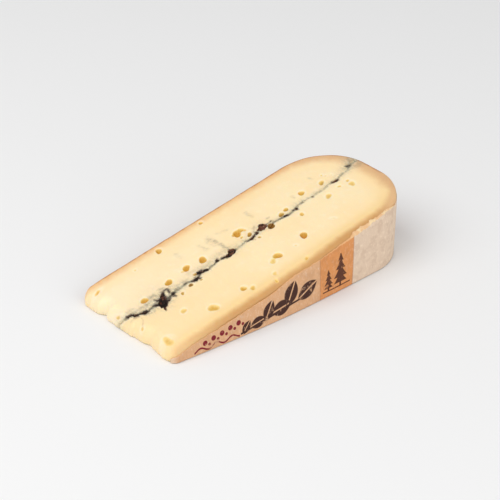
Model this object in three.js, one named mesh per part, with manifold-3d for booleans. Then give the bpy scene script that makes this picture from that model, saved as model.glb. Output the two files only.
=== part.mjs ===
// A retail wedge of morbier, a semi-hard cow's milk cheese with a line of ash through its middle.
// The wedge was cut from a flat round wheel and lies on one of its two cut faces, so the wheel's
// axis is level, along Y, and the wheel's two flat faces stand upright at the wedge's sides.
// Millimetres, +Z up. +X runs from the broken point to the heel, which is the wheel's rim.
// The origin is below the middle of the wedge, on the surface that it lies on.

import * as THREE from "three";
import { mergeVertices } from "three/addons/utils/BufferGeometryUtils.js";
import Module from "manifold-3d";

// Driving sizes of the wheel and of the cut
const WHEEL_RADIUS = 168.5;
const WHEEL_HEIGHT = 61.2;
const WEDGE_ANGLE = THREE.MathUtils.degToRad(10.8);
const TIP_RADIUS = 32; // the thin point has broken off here
const AXIS_X = -(WHEEL_RADIUS + TIP_RADIUS) / 2;

// The paper label is glued to the flat face on the -Y side, and folds round the rim's corner
const PAPER = 0.4;
const GLUE_GAP = 0.25;
const LABEL_FOOT = 0.3; // its lower edge, above the floor
const LABEL_MARGIN = { side: 0.4, corner: 2.5 }; // its upper edge, below the rounded cut edge
// Corners seen from above: the rim's two corners, and the two at the broken tip
const FAR_CORNER = 27;
const LABEL_CORNER = { floor: 24.5, cut: 23.5 };
const TIP_CORNER = 5.5;

// How far the soft cheese bows out at the label side, at the floor and at the cut edge
const LABEL_BOW = { floor: 2.1, cut: 0.6 };

// The wheel's two flat faces, and the plane midway between them
const LABEL_SIDE_Y = (LABEL_BOW.floor + GLUE_GAP + PAPER - WHEEL_HEIGHT) / 2;
const FAR_SIDE_Y = LABEL_SIDE_Y + WHEEL_HEIGHT;
const MIDDLE_Y = LABEL_SIDE_Y + WHEEL_HEIGHT / 2;

// Edges of the cut face, seen from the end: how far the rounding reaches inwards and downwards
const PLAIN_EDGE = { width: 2.6, drop: 2.4 };
const LABEL_EDGE = { width: 5, drop: 2.4 };
const TIP_EDGE = { width: 4.8, drop: 4.9 };
const FLOOR_EDGE = 1;

// The tip broke along a slanting line, with notches: place across, depth, half width
const TIP_SLANT = 0.033;
const TIP_NOTCHES = [[16, 1.7, 3.6], [-4.5, 0.5, 2.6], [-12.8, 0.6, 2.6], [-13, 1, 13]];
const NOTCH_FADE = 0.65; // how much of a notch is gone at the top of the tip's rounding

// The ash layer, and the clearance that it keeps to the cheese on both sides
const ASH_THICKNESS = 0.9;
const ASH_GAP = 0.2;

// The ash line's route over the cut face: distance from the wheel's axis, and distance from the
// plane midway between its flat faces
const ASH_ROUTE = [
  [27, 3.3], [34, 2.4], [37.8, 0.4], [43.5, -2.4], [48, -2.6], [52, -3], [56, -2.2],
  [60, -1.4], [65, -1.2], [70, -1.8], [75.5, 0.1], [80, -0.3], [84, 0.2], [90, -0.3], [100.5, 0.5],
  [104.5, 1.2], [110.5, 2.7], [114.5, 1.6], [118, 1.7], [121.5, 0.8], [127, 1.3], [132.5, 2.5],
  [136.5, 3], [139, 2.5], [143.5, 3.3], [153, 3.4], [157, 4], [160, 5], [163, 6.8],
  [168, 7.3], [176, 7.7],
];

// Eyes, the small round holes of the paste: the same two distances, and the width
const EYES = [
  [37.7, 22.3, 2.4], [70.9, 23.8, 3.3], [95.1, 26.1, 1.8], [47.2, 3.5, 3.4], [61.1, 5, 3.8],
  [71.8, 6.7, 3.6], [79.4, 6, 3.9], [100.9, 8.4, 4.3], [103.2, 8.1, 2.6], [103.9, 3.5, 2.3],
  [121.6, 3.7, 2.5], [125.4, 4.9, 2.4], [137.6, 8.1, 3], [148.2, 7, 2.8], [66.2, -3.5, 2.6],
  [60.5, -5.2, 1.8], [127.6, -3.1, 2.3], [143.6, -2.5, 3], [155.9, -3.2, 3.4],
  [117.6, -15.5, 4], [102.5, -17.3, 4], [98.4, -18.2, 2.9], [78.8, -22.8, 3.3],
  [81.7, -25.5, 2.4], [63.5, -22.6, 5], [53.5, -14.1, 3], [38.2, -23.7, 4.8],
];

// Openings where the two halves of the curd never closed over the ash: the same two distances,
// the length along the line and the width across it
const ASH_OPENINGS = [
  [37, 0.8, 3.6, 1.5], [42.5, -2.2, 4.2, 1.7], [52, -3.1, 5.4, 5.2], [56.6, 1.2, 4.6, 3.2],
  [70, -1.9, 3.4, 1.7], [75.2, 0.2, 5, 1.9], [89.2, -0.1, 7, 2.4], [104.6, 1.2, 4, 1.4],
  [111, 3, 4.4, 4.1], [114.1, 1, 3.4, 2.5], [128, 0.9, 2.3, 1.7], [153.1, 3.4, 3.2, 1.7],
];

// Depths of the hollows, as a share of their width
const EYE_DEPTH = 0.42;
const OPENING_DEPTH = 0.3;

// Eyes on the cut face underneath, scattered by a rule on both sides of the ash line
const UNDERSIDE = { eyes: 9, seed: 7, reach: [-30, 52], across: [7, 24], width: [2.4, 4.4] };

const wasm = await Module();
wasm.setup();

// A number generator that gives the same draws every time
function seeded(seed) {
  let state = seed;
  return () => {
    state = (state * 1664525 + 1013904223) % 4294967296;
    return state / 4294967296;
  };
}

// Height of the upper cut plane, which passes through the wheel's axis
const cutHeight = (x) => (x - AXIS_X) * Math.tan(WEDGE_ANGLE);

// A point on the upper cut face, from its distances to the wheel's axis and to its middle plane
function onCutFace(distance, across) {
  const x = AXIS_X + distance * Math.cos(WEDGE_ANGLE);
  return new THREE.Vector3(x, MIDDLE_Y + across, cutHeight(x));
}

// How far the broken tip stands back from its foremost line
function raggedness(y) {
  const notches = TIP_NOTCHES.map(([at, depth, half]) => {
    const u = Math.min(Math.abs(y - at) / half, 1);
    return depth * Math.cos((u * Math.PI) / 2) ** 2;
  });
  return notches.reduce((sum, notch) => sum + notch, TIP_SLANT * (FAR_SIDE_Y - y));
}

// Points of an arc with radii a and b, from one angle to another, in degrees
function arc(x, y, a, b, from, to, steps) {
  return Array.from({ length: steps + 1 }, (_, i) => {
    const t = THREE.MathUtils.degToRad(from + ((to - from) * i) / steps);
    return [x + a * Math.cos(t), y + b * Math.sin(t)];
  });
}

// Points from one place to another, without the first and the last, bowed out to the right
function between([x0, y0], [x1, y1], steps, bow = 0) {
  const length = Math.hypot(x1 - x0, y1 - y0);
  return Array.from({ length: steps - 1 }, (_, i) => {
    const t = (i + 1) / steps;
    const out = (bow * Math.sin(Math.PI * t)) / length;
    return [x0 + (x1 - x0) * t + out * (y1 - y0), y0 + (y1 - y0) * t - out * (x1 - x0)];
  });
}

// The wedge's outline from above, anticlockwise from the tip's corner on the label side. It is
// drawn in by a distance of its own at the label, at the tip and elsewhere. The level runs from 0
// at the floor to 1 at the cut edge. Every outline has the same number of points.
const SIDE_STEPS = 14;
const CORNER_STEPS = 8;
const RIM_STEPS = 4;
const TIP_CORNER_STEPS = 4;
const TIP_STEPS = 26;
const LABEL_START = 3; // the outline's first point that the label covers
const LABEL_END = TIP_CORNER_STEPS + SIDE_STEPS + CORNER_STEPS;
function outline({ plain, label, tip }, level) {
  const { lerp, clamp } = THREE.MathUtils;
  const heelX = AXIS_X + WHEEL_RADIUS;
  const tipX = AXIS_X + TIP_RADIUS;
  const near = lerp(LABEL_CORNER.floor, LABEL_CORNER.cut, level);
  const bow = lerp(LABEL_BOW.floor, LABEL_BOW.cut, level);
  const tipCorner = (y, side, from) =>
    arc(tipX + TIP_CORNER, y, TIP_CORNER - tip, TIP_CORNER - side, from, from + 90, TIP_CORNER_STEPS);
  const heelCorner = (radius, y, side, from) =>
    arc(heelX - radius, y, radius - plain, radius - side, from, from + 90, CORNER_STEPS);
  const nearTip = tipCorner(LABEL_SIDE_Y + TIP_CORNER, label, 180);
  const nearHeel = heelCorner(near, LABEL_SIDE_Y + near, label, 270);
  const farHeel = heelCorner(FAR_CORNER, FAR_SIDE_Y - FAR_CORNER, plain, 0);
  const farTip = tipCorner(FAR_SIDE_Y - TIP_CORNER, plain, 90);
  const points = [
    ...nearTip,
    ...between(nearTip.at(-1), nearHeel[0], SIDE_STEPS, bow),
    ...nearHeel,
    ...between(nearHeel.at(-1), farHeel[0], RIM_STEPS),
    ...farHeel,
    ...between(farHeel.at(-1), farTip[0], SIDE_STEPS),
    ...farTip,
    ...between(farTip.at(-1), nearTip[0], TIP_STEPS),
  ];
  // The points at the tip, and less and less those beside and above it, follow the broken line
  const above = 1 - NOTCH_FADE * (tip / TIP_EDGE.width);
  return points.map(([x, y]) => {
    const share = above * clamp(1 - (x - tipX - tip) / TIP_CORNER, 0, 1);
    return [x + share * raggedness(y), y];
  });
}

// A closed solid from rings with the same number of points, bottom first, with a cap at each end
function fromRings(rings) {
  const count = rings[0].length;
  const index = [];
  for (let r = 0; r + 1 < rings.length; r++) {
    for (let i = 0; i < count; i++) {
      const a = r * count + i;
      const b = r * count + ((i + 1) % count);
      index.push(a, b, b + count, a, b + count, a + count);
    }
  }
  const cap = (ring, first, upward) => {
    const flat = ring.map((p) => new THREE.Vector2(p.x, p.y));
    for (const [a, b, c] of THREE.ShapeUtils.triangulateShape(flat, [])) {
      index.push(first + a, first + (upward ? b : c), first + (upward ? c : b));
    }
  };
  cap(rings[0], 0, false);
  cap(rings.at(-1), (rings.length - 1) * count, true);
  const geometry = new THREE.BufferGeometry().setFromPoints(rings.flat());
  return geometry.setIndex(index);
}

// The closed mesh as a solid that can be cut and joined
function toSolid(geometry) {
  const bare = geometry.clone().deleteAttribute("normal").deleteAttribute("uv");
  const merged = mergeVertices(bare, 1e-4);
  return new wasm.Manifold(
    new wasm.Mesh({
      numProp: 3,
      vertProperties: new Float32Array(merged.attributes.position.array),
      triVerts: new Uint32Array(merged.index.array),
    }),
  );
}

// A solid back as a named three.js mesh
function toMesh(solid, name, material) {
  const { vertProperties, triVerts } = solid.getMesh();
  const geometry = new THREE.BufferGeometry();
  geometry.setAttribute("position", new THREE.BufferAttribute(vertProperties, 3));
  geometry.setIndex(new THREE.BufferAttribute(triVerts, 1));
  geometry.computeVertexNormals();
  const mesh = new THREE.Mesh(geometry, material);
  mesh.name = name;
  return mesh;
}

// How much of the tip's edge, instead of the plain one, a place has
function tipShare(x) {
  return THREE.MathUtils.smoothstep(AXIS_X + TIP_RADIUS + 2.5 * TIP_CORNER - x, 0, 2 * TIP_CORNER);
}

// How far below the cut plane the rounding of its edge begins
function edgeDrop(x) {
  return THREE.MathUtils.lerp(PLAIN_EDGE.drop, TIP_EDGE.drop, tipShare(x));
}

// The whole wedge, before the ash layer divides it
function wedge() {
  const floorRings = [[1, 0], [0.3, 0.3], [0, 1]].map(([share, lift]) => {
    const inset = share * FLOOR_EDGE;
    const ring = outline({ plain: inset, label: inset, tip: inset }, 0);
    return ring.map(([x, y]) => new THREE.Vector3(x, y, lift * FLOOR_EDGE));
  });
  const cutRings = [0, 25, 50, 70, 90].map((degrees) => {
    const t = THREE.MathUtils.degToRad(degrees);
    const inward = 1 - Math.cos(t);
    const insets = {
      plain: PLAIN_EDGE.width * inward,
      label: LABEL_EDGE.width * inward,
      tip: TIP_EDGE.width * inward,
    };
    const height = (x) => cutHeight(x) - edgeDrop(x) * (1 - Math.sin(t));
    return outline(insets, 1).map(([x, y]) => new THREE.Vector3(x, y, height(x)));
  });
  return toSolid(fromRings([...floorRings, ...cutRings]));
}

// An upright slab that follows the ash line, as thick as asked
function ashSlab(thickness) {
  const stops = ASH_ROUTE.map(([distance, across]) => {
    const { x, y } = onCutFace(distance, across);
    return new THREE.Vector2(x, y);
  });
  const route = new THREE.SplineCurve(stops).getPoints(54);
  const side = (offset) => route.map((p) => new THREE.Vector2(p.x, p.y + offset));
  const shape = new THREE.Shape([...side(-thickness / 2), ...side(thickness / 2).reverse()]);
  const geometry = new THREE.ExtrudeGeometry(shape, {
    depth: 2 * cutHeight(AXIS_X + WHEEL_RADIUS),
    bevelEnabled: false,
  });
  return toSolid(geometry.translate(0, 0, -1));
}

// A rounded hollow, to be cut from a face that leans by some angle
const HOLLOW_SIDES = 10;
const HOLLOW_BANDS = 7;
function hollow(centre, length, width, depth, lean, turn) {
  const geometry = new THREE.SphereGeometry(0.5, HOLLOW_SIDES, HOLLOW_BANDS);
  geometry.rotateX(Math.PI / 2);
  geometry.scale(length, width, 2 * depth);
  geometry.rotateZ(turn);
  geometry.rotateY(-lean);
  return toSolid(geometry.translate(centre.x, centre.y, centre.z));
}

// Every eye and opening that shows at the two cut faces
function hollows() {
  const draw = seeded(UNDERSIDE.seed);
  const from = ([low, high]) => THREE.MathUtils.lerp(low, high, draw());
  const eyes = EYES.map(([distance, across, width]) => {
    const length = width * from([0.85, 1.05]);
    const depth = EYE_DEPTH * width;
    return hollow(onCutFace(distance, across), length, width, depth, WEDGE_ANGLE, 0);
  });
  const openings = ASH_OPENINGS.map(([distance, across, length, width]) => {
    const depth = OPENING_DEPTH * (length + width);
    return hollow(onCutFace(distance, across), length, width, depth, WEDGE_ANGLE, 0.2);
  });
  const underside = Array.from({ length: UNDERSIDE.eyes }, () => {
    const side = draw() < 0.5 ? -1 : 1;
    const width = from(UNDERSIDE.width);
    const centre = new THREE.Vector3(from(UNDERSIDE.reach), side * from(UNDERSIDE.across), 0);
    return hollow(centre, width, from([0.8, 1]) * width, EYE_DEPTH * width, 0, from([0, Math.PI]));
  });
  return [...eyes, ...openings, ...underside];
}

// The paper, a strip that follows the label side and the rim's corner. It starts at the tip's
// corner, and its torn upper edge runs a little below the cut face.
function paperLabel() {
  const wall = (offset) => {
    const insets = { plain: -offset, label: -offset, tip: -offset };
    const covered = (level) => outline(insets, level).slice(LABEL_START, LABEL_END);
    const [low, high] = [covered(0), covered(1)];
    return (i, z) => {
      const top = cutHeight(high[i][0]) - edgeDrop(high[i][0]);
      const t = (z - FLOOR_EDGE) / (top - FLOOR_EDGE);
      return new THREE.Vector3(...low[i].map((v, k) => THREE.MathUtils.lerp(v, high[i][k], t)), z);
    };
  };
  const inner = wall(GLUE_GAP);
  const outer = wall(GLUE_GAP + PAPER);
  const heights = outline({ plain: 0, label: 0, tip: 0 }, 1)
    .slice(LABEL_START, LABEL_END)
    .map(([x, y]) => {
      const round = THREE.MathUtils.smoothstep(y, LABEL_SIDE_Y, LABEL_SIDE_Y + LABEL_CORNER.cut);
      return cutHeight(x) - edgeDrop(x) - LABEL_MARGIN.side - round * LABEL_MARGIN.corner;
    });
  const ring = heights.map((head, i) => [
    inner(i, LABEL_FOOT),
    outer(i, LABEL_FOOT),
    outer(i, head),
    inner(i, head),
  ]);
  const index = [];
  const quad = (a, b, c, d) => index.push(a, b, c, a, c, d);
  for (let i = 0; i + 1 < ring.length; i++) {
    for (let k = 0; k < 4; k++) {
      const next = (k + 1) % 4;
      quad(4 * i + k, 4 * i + 4 + k, 4 * i + 4 + next, 4 * i + next);
    }
  }
  const last = 4 * (ring.length - 1);
  quad(0, 1, 2, 3);
  quad(last + 3, last + 2, last + 1, last);
  const geometry = new THREE.BufferGeometry().setFromPoints(ring.flat());
  return toSolid(geometry.setIndex(index));
}

const paste = new THREE.MeshStandardMaterial({ color: 0xfde4b2, roughness: 0.5, metalness: 0 });
const ash = new THREE.MeshStandardMaterial({ color: 0x2e2926, roughness: 0.95, metalness: 0 });
const paper = new THREE.MeshStandardMaterial({ color: 0xd8b08a, roughness: 0.85, metalness: 0 });

// The ash divides the cheese in two. Loose scraps beside the openings are left out.
const body = hollows().reduce((rest, hole) => rest.subtract(hole), wedge());
const byVolume = (solid) => solid.decompose().sort((a, b) => b.volume() - a.volume());
const halves = byVolume(body.subtract(ashSlab(ASH_THICKNESS + 2 * ASH_GAP))).slice(0, 2);
halves.sort((a, b) => a.boundingBox().min[1] - b.boundingBox().min[1]);
const [labelHalf, farHalf] = halves;
const [layer] = byVolume(body.intersect(ashSlab(ASH_THICKNESS)));

const morbier = new THREE.Group();
morbier.add(
  toMesh(labelHalf, "paste_label_side", paste),
  toMesh(farHalf, "paste_far_side", paste),
  toMesh(layer, "ash_layer", ash),
  toMesh(paperLabel(), "paper_label", paper),
);

export default morbier;
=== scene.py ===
# %% [markdown]
# # A wedge of morbier
# Morbier is a semi-hard cheese that is made in flat round wheels, with a thin layer of ash through
# the middle. This wedge lies on one of its cut faces, so the ash shows as a dark line along the
# top, the paper label stands on the side towards us, and the rind is at the back and at the heel.
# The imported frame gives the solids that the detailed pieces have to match, and their sizes.

import math

import bpy
import numpy as np
import openvdb as vdb
from mathutils import Matrix, Vector


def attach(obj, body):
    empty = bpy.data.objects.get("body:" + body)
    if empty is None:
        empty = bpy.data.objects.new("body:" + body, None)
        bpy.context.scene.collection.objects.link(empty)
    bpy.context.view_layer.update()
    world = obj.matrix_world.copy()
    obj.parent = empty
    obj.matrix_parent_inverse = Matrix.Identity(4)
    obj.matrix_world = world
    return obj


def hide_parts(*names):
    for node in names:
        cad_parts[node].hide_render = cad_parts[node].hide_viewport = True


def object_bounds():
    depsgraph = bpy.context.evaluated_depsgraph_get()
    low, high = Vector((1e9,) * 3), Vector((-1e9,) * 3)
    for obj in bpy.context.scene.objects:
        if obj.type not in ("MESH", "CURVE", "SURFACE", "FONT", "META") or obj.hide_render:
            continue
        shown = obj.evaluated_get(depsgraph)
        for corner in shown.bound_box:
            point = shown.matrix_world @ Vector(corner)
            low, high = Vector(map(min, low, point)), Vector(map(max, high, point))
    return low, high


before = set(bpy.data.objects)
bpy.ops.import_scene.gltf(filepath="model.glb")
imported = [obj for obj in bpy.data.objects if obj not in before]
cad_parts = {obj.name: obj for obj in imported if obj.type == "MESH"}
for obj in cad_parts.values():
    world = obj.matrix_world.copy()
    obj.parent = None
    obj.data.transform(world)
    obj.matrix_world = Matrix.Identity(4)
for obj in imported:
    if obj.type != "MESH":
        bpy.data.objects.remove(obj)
cad_box = [list(corner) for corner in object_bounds()]
box_in_mm = np.round(np.array(cad_box) * 1000, 1).tolist()
print("solids:", sorted(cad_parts), "box in mm:", box_in_mm)

# %% [markdown]
# The wheel and the knife decide every main size, so we name them once, in millimetres: the wheel's
# radius and its axis, the angle between the two cuts, how round the corners are when seen from
# above, and how soft each edge of the cut face has become.

# %% Sizes of the wheel and of the cut
MM = 0.001
WHEEL_RADIUS = 168.5
WHEEL_HEIGHT = 61.2
CUT_ANGLE = math.radians(10.8)
TIP_RADIUS = 32.0
AXIS_X = -(WHEEL_RADIUS + TIP_RADIUS) / 2
HEEL_X = AXIS_X + WHEEL_RADIUS
TIP_X = AXIS_X + TIP_RADIUS
LABEL_SIDE_Y = -29.225
FAR_SIDE_Y = LABEL_SIDE_Y + WHEEL_HEIGHT
MIDDLE_Y = LABEL_SIDE_Y + WHEEL_HEIGHT / 2
FAR_CORNER = 27.0
LABEL_CORNER = (24.5, 23.5)  # at the floor and at the cut edge
LABEL_SHORT = 5  # the label ends this many points before the end of that corner
LABEL_BOW = (2.1, 0.6)  # how far the soft side bows out, at the same two heights
TIP_CORNER = 5.5
EDGE_WIDTH = {"heel": 2.6, "far": 2.6, "label": 5.0, "tip": 4.8}  # of the rounding, inwards
PLAIN_DROP, TIP_DROP = 2.4, 4.9  # and downwards, along the sides and at the tip
FLOOR_EDGE = 1.0  # the rounding at the floor, both ways
print("the wedge runs from x", round(TIP_X, 1), "to", round(HEEL_X, 1), "mm")


# %% How high the cut stands, and how deep its edge is rounded
def cut_height(x):
    """Height of the upper cut above the floor. Its plane passes through the wheel's axis."""
    return (x - AXIS_X) * math.tan(CUT_ANGLE)


def under_cut(points):
    """How far points lie below the cut's plane."""
    return cut_height(points[:, 0]) - points[:, 2]


def smooth(value, low, high):
    """0 below low, 1 above high, with soft ends. High may be the smaller one."""
    t = np.clip((value - low) / (high - low), 0, 1)
    return t * t * (3 - 2 * t)


def edge_drop(x):
    """How far below the cut the rounding of its edge begins. It is deeper at the tip."""
    share = smooth(TIP_X + 2.5 * TIP_CORNER - x, 0, 2 * TIP_CORNER)
    return PLAIN_DROP + (TIP_DROP - PLAIN_DROP) * share


print("heel", round(cut_height(HEEL_X), 1), "mm high, tip", round(cut_height(TIP_X), 1), "mm high")

# %% [markdown]
# Nothing on a piece of cheese is perfectly straight. Smooth random waves of a chosen length make
# the knife's wobble, the crumbly tip and the ragged openings. A lattice of random numbers, blended
# between its points, gives the same waves at every run because its seed is fixed.

# %% Random waves
LATTICE = 4096  # random numbers in all
SHIFT = 1000  # lattice cells, so that no place is negative
PRIMES = (73856093, 19349663, 83492791)  # they scatter neighbouring cells over the numbers


def waves(length, seed, *place):
    """Smooth noise between about -1 and 1 at the given coordinates, with that wavelength in mm."""
    places = [np.asarray(p, float) / length + SHIFT for p in np.broadcast_arrays(*place)]
    lattice = np.random.default_rng(seed).uniform(-1, 1, LATTICE)
    cells = [np.floor(p).astype(np.int64) for p in places]
    shares = [p - c for p, c in zip(places, cells)]
    shares = [s * s * (3 - 2 * s) for s in shares]
    total = np.zeros(places[0].shape)
    for corner in np.ndindex(*(2,) * len(places)):
        key = np.zeros(places[0].shape, np.int64)
        weight = np.ones(places[0].shape)
        for c, s, step, prime in zip(cells, shares, corner, PRIMES):
            key ^= (c + step) * prime
            weight = weight * (s if step else 1 - s)
        total += weight * lattice[key % LATTICE]
    return total


def several_waves(kinds, *place):
    """Waves of several kinds added up. Each kind has a height and a length in mm, and a seed."""
    return sum(height * waves(length, seed, *place) for height, length, seed in kinds)


print("a wave, every 2 mm:", np.round(waves(5, 1, np.arange(0, 12, 2)), 2).tolist())

# %% [markdown]
# ## The outline from above
# Seen from above the wedge has four sides: the label side, the heel, the far side and the broken
# tip. We draw that loop twice, at the floor and at the cut edge, because the soft label side bows
# out more at the bottom. Short arcs and straight runs joined end to end are the simplest way.

# %% The tip's broken line
TIP_SLANT = 0.033
TIP_NOTCHES = [(16, 1.7, 3.6), (-4.5, 0.5, 2.6), (-12.8, 0.6, 2.6), (-13, 1, 13)]  # y, depth, half
TIP_CRUMBS = [(0.22, 2.3, 5), (0.14, 0.9, 6)]  # height, length and seed of the waves


def raggedness(y):
    """How far the broken tip stands back from its foremost line, in mm."""
    back = TIP_SLANT * (FAR_SIDE_Y - y)
    for at, depth, half in TIP_NOTCHES:
        back = back + depth * np.cos(np.clip(np.abs(y - at) / half, 0, 1) * math.pi / 2) ** 2
    for height, length, seed in TIP_CRUMBS:
        back = back + height * (1 + waves(length, seed, y))
    return back


farthest = raggedness(np.linspace(LABEL_SIDE_Y, FAR_SIDE_Y, 99)).max()
print("the broken tip stands back by up to", round(float(farthest), 1), "mm")


# %% One loop
def arc(x, y, radius, start, steps):
    """A quarter circle, anticlockwise from a start angle in degrees."""
    t = np.radians(np.linspace(start, start + 90, steps))
    return np.stack([x + radius * np.cos(t), y + radius * np.sin(t)], 1)


def run(start, end, steps, bow=0.0):
    """Points between two places, bowed out to the right."""
    t = np.linspace(0, 1, steps)[1:-1, None]
    along = end - start
    out = np.array([along[1], -along[0]]) / np.linalg.norm(along)
    return start + along * t + bow * np.sin(math.pi * t) * out


def loop_at(level):
    """The outline, as four open paths that share their ends: label side, heel, far side, tip."""
    near = LABEL_CORNER[0] + (LABEL_CORNER[1] - LABEL_CORNER[0]) * level
    bow = LABEL_BOW[0] + (LABEL_BOW[1] - LABEL_BOW[0]) * level
    tip_near = arc(TIP_X + TIP_CORNER, LABEL_SIDE_Y + TIP_CORNER, TIP_CORNER, 180, 12)
    heel_near = arc(HEEL_X - near, LABEL_SIDE_Y + near, near, 270, 40)
    heel_far = arc(HEEL_X - FAR_CORNER, FAR_SIDE_Y - FAR_CORNER, FAR_CORNER, 0, 40)
    tip_far = arc(TIP_X + TIP_CORNER, FAR_SIDE_Y - TIP_CORNER, TIP_CORNER, 90, 12)
    label = [tip_near[-1:], run(tip_near[-1], heel_near[0], 60, bow), heel_near]
    heel = [heel_near[-1:], run(heel_near[-1], heel_far[0], 8), heel_far]
    far = [heel_far[-1:], run(heel_far[-1], tip_far[0], 30), tip_far[:1]]
    tip = [tip_far, run(tip_far[-1], tip_near[0], 160), tip_near]
    paths = {}
    for name, parts in zip(("label", "heel", "far", "tip"), (label, heel, far, tip)):
        path = np.concatenate(parts)
        share = np.clip(1 - (path[:, 0] - TIP_X) / TIP_CORNER, 0, 1)
        path[:, 0] += share * raggedness(path[:, 1])
        paths[name] = path
    return paths


floor_loop, cut_loop = loop_at(0), loop_at(1)
print("points in each path:", {name: len(path) for name, path in cut_loop.items()})

# %% [markdown]
# ## The cheese as a field of distances
# A body with rounded edges, dozens of holes and a ragged split is hard to knit from faces by hand.
# We fill a box of small cells with the distance to the surface instead, negative inside. Joining
# and cutting is then only taking the smaller or the larger number, and at the end one call turns
# the zero level into faces. Cells of 0.42 mm keep each half of the cheese below 200,000 triangles.

# %% The cells
CELL = 0.42
LOW = np.array([-69.7, -32.9, -1.3])
COUNT = np.array([332, 158, 81])
xs, ys, zs = (LOW[k] + CELL * np.arange(COUNT[k]) for k in range(3))
plan_x, plan_y = np.meshgrid(xs, ys, indexing="ij")
FAR_OFF = 3.0  # a distance that stands for far away
print("cells:", int(COUNT.prod()), "of", CELL, "mm")


# %% Distances seen from above
def path_distance(path, px, py):
    """Distance in mm from points to an open path."""
    best = np.full(px.shape, np.inf)
    for (ax, ay), (bx, by) in zip(path[:-1], path[1:]):
        dx, dy = bx - ax, by - ay
        t = np.clip(((px - ax) * dx + (py - ay) * dy) / (dx * dx + dy * dy + 1e-12), 0, 1)
        best = np.minimum(best, (px - ax - t * dx) ** 2 + (py - ay - t * dy) ** 2)
    return np.sqrt(best)


def inside(loop, px, py):
    """Whether points lie inside a closed loop. A ray from such a point crosses it oddly often."""
    odd = np.zeros(px.shape, bool)
    for (ax, ay), (bx, by) in zip(loop, np.roll(loop, -1, axis=0)):
        if ay != by:
            odd ^= ((ay > py) != (by > py)) & (px < (bx - ax) * (py - ay) / (by - ay) + ax)
    return odd


# %% Distance inwards from the wall, at the floor and at the cut edge
def wall_fields(paths):
    """Distance inwards from the wall, and from each of its sides, for cells seen from above."""
    sides = {name: path_distance(path, plan_x, plan_y) for name, path in paths.items()}
    nearest = np.minimum.reduce(list(sides.values()))
    within = inside(np.concatenate(list(paths.values())), plan_x, plan_y)
    return np.where(within, nearest, -nearest), sides


floor_in, _ = wall_fields(floor_loop)
cut_in, cut_sides = wall_fields(cut_loop)
past_label = cut_loop["label"][-LABEL_SHORT - 1 :]
bare_corner = path_distance(past_label, plan_x, plan_y)
print("widest distance inwards:", round(float(cut_in.max()), 1), "mm")

# %% [markdown]
# The edge between the cut and the wall isn't a line but a soft rounding, wider above the label
# and at the tip than elsewhere. A quarter of an ellipse does it: its width reaches inwards, its
# drop reaches downwards, and the formula below gives a fair distance to it from any cell.


# %% A rounded corner between two faces
def rounded(u, v, width, drop):
    """Distance to the corner of two faces, from the distances u and v inside each of them."""
    a = np.maximum(0, 1 - u / width)
    b = np.maximum(0, 1 - v / drop)
    size = np.hypot(a, b)
    slope = np.hypot(a / width, b / drop) / np.maximum(size, 1e-6)
    return np.where(size > 1e-6, (size - 1) / np.maximum(slope, 1e-6), -np.minimum(width, drop))


slope_x, slope_y = np.gradient(cut_in, CELL)
toward = {
    "heel": np.maximum(-slope_x, 0) ** 2,
    "tip": np.maximum(slope_x, 0) ** 2,
    "label": np.maximum(slope_y, 0) ** 2,
    "far": np.maximum(-slope_y, 0) ** 2,
}
total = sum(toward.values()) + 1e-9
edge_width = sum(EDGE_WIDTH[name] * share for name, share in toward.items()) / total
print("edge widths:", np.round([edge_width.min(), edge_width.max()], 1).tolist(), "mm")

# %% The whole wedge, with a knife's slight wobble in the cut
SKIN_WAVE, KNIFE_WAVE, KNIFE_CHATTER, FLOOR_WAVE = 0.1, 0.1, 0.035, 0.03  # their heights in mm
KEPT_DISTANCE = 2  # farther from the surface, one distance is as good as another
x3, y3, z3 = xs[:, None, None], ys[None, :, None], zs[None, None, :]
level = np.clip((z3 - FLOOR_EDGE) / (cut_height(x3) - edge_drop(x3) - FLOOR_EDGE), 0, 1)
wall_in = floor_in[:, :, None] * (1 - level) + cut_in[:, :, None] * level
wall_in -= SKIN_WAVE * (1 + waves(5, 11, x3, y3, z3)) * smooth(x3, TIP_X + 4, TIP_X + 20)
knife = KNIFE_WAVE * (1 + waves(15, 12, plan_x, plan_y))
knife = knife + KNIFE_CHATTER * (1 + waves(2.6, 13, plan_x, plan_y))
below_cut = cut_height(x3) - knife[:, :, None] - z3
above_floor = z3 - FLOOR_WAVE * (1 + waves(9, 14, plan_x, plan_y))[:, :, None]
whole = np.maximum(
    rounded(wall_in, below_cut, edge_width[:, :, None], edge_drop(x3)),
    rounded(wall_in, above_floor, FLOOR_EDGE, FLOOR_EDGE),
)
whole = np.clip(whole, -KEPT_DISTANCE, KEPT_DISTANCE).astype(np.float32)
print("volume of the wedge:", round(float((whole < 0).sum()) * CELL**3 / 1000, 1), "cm3")

# %% [markdown]
# ## The ash line
# The line of ash wanders over the cut, because the lower half of the curd was uneven when the
# ash was dusted on. We note where it passes, as distances from the wheel's axis and from its
# middle plane, and let a smooth curve run through those places. A little jitter breaks the curve.

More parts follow.
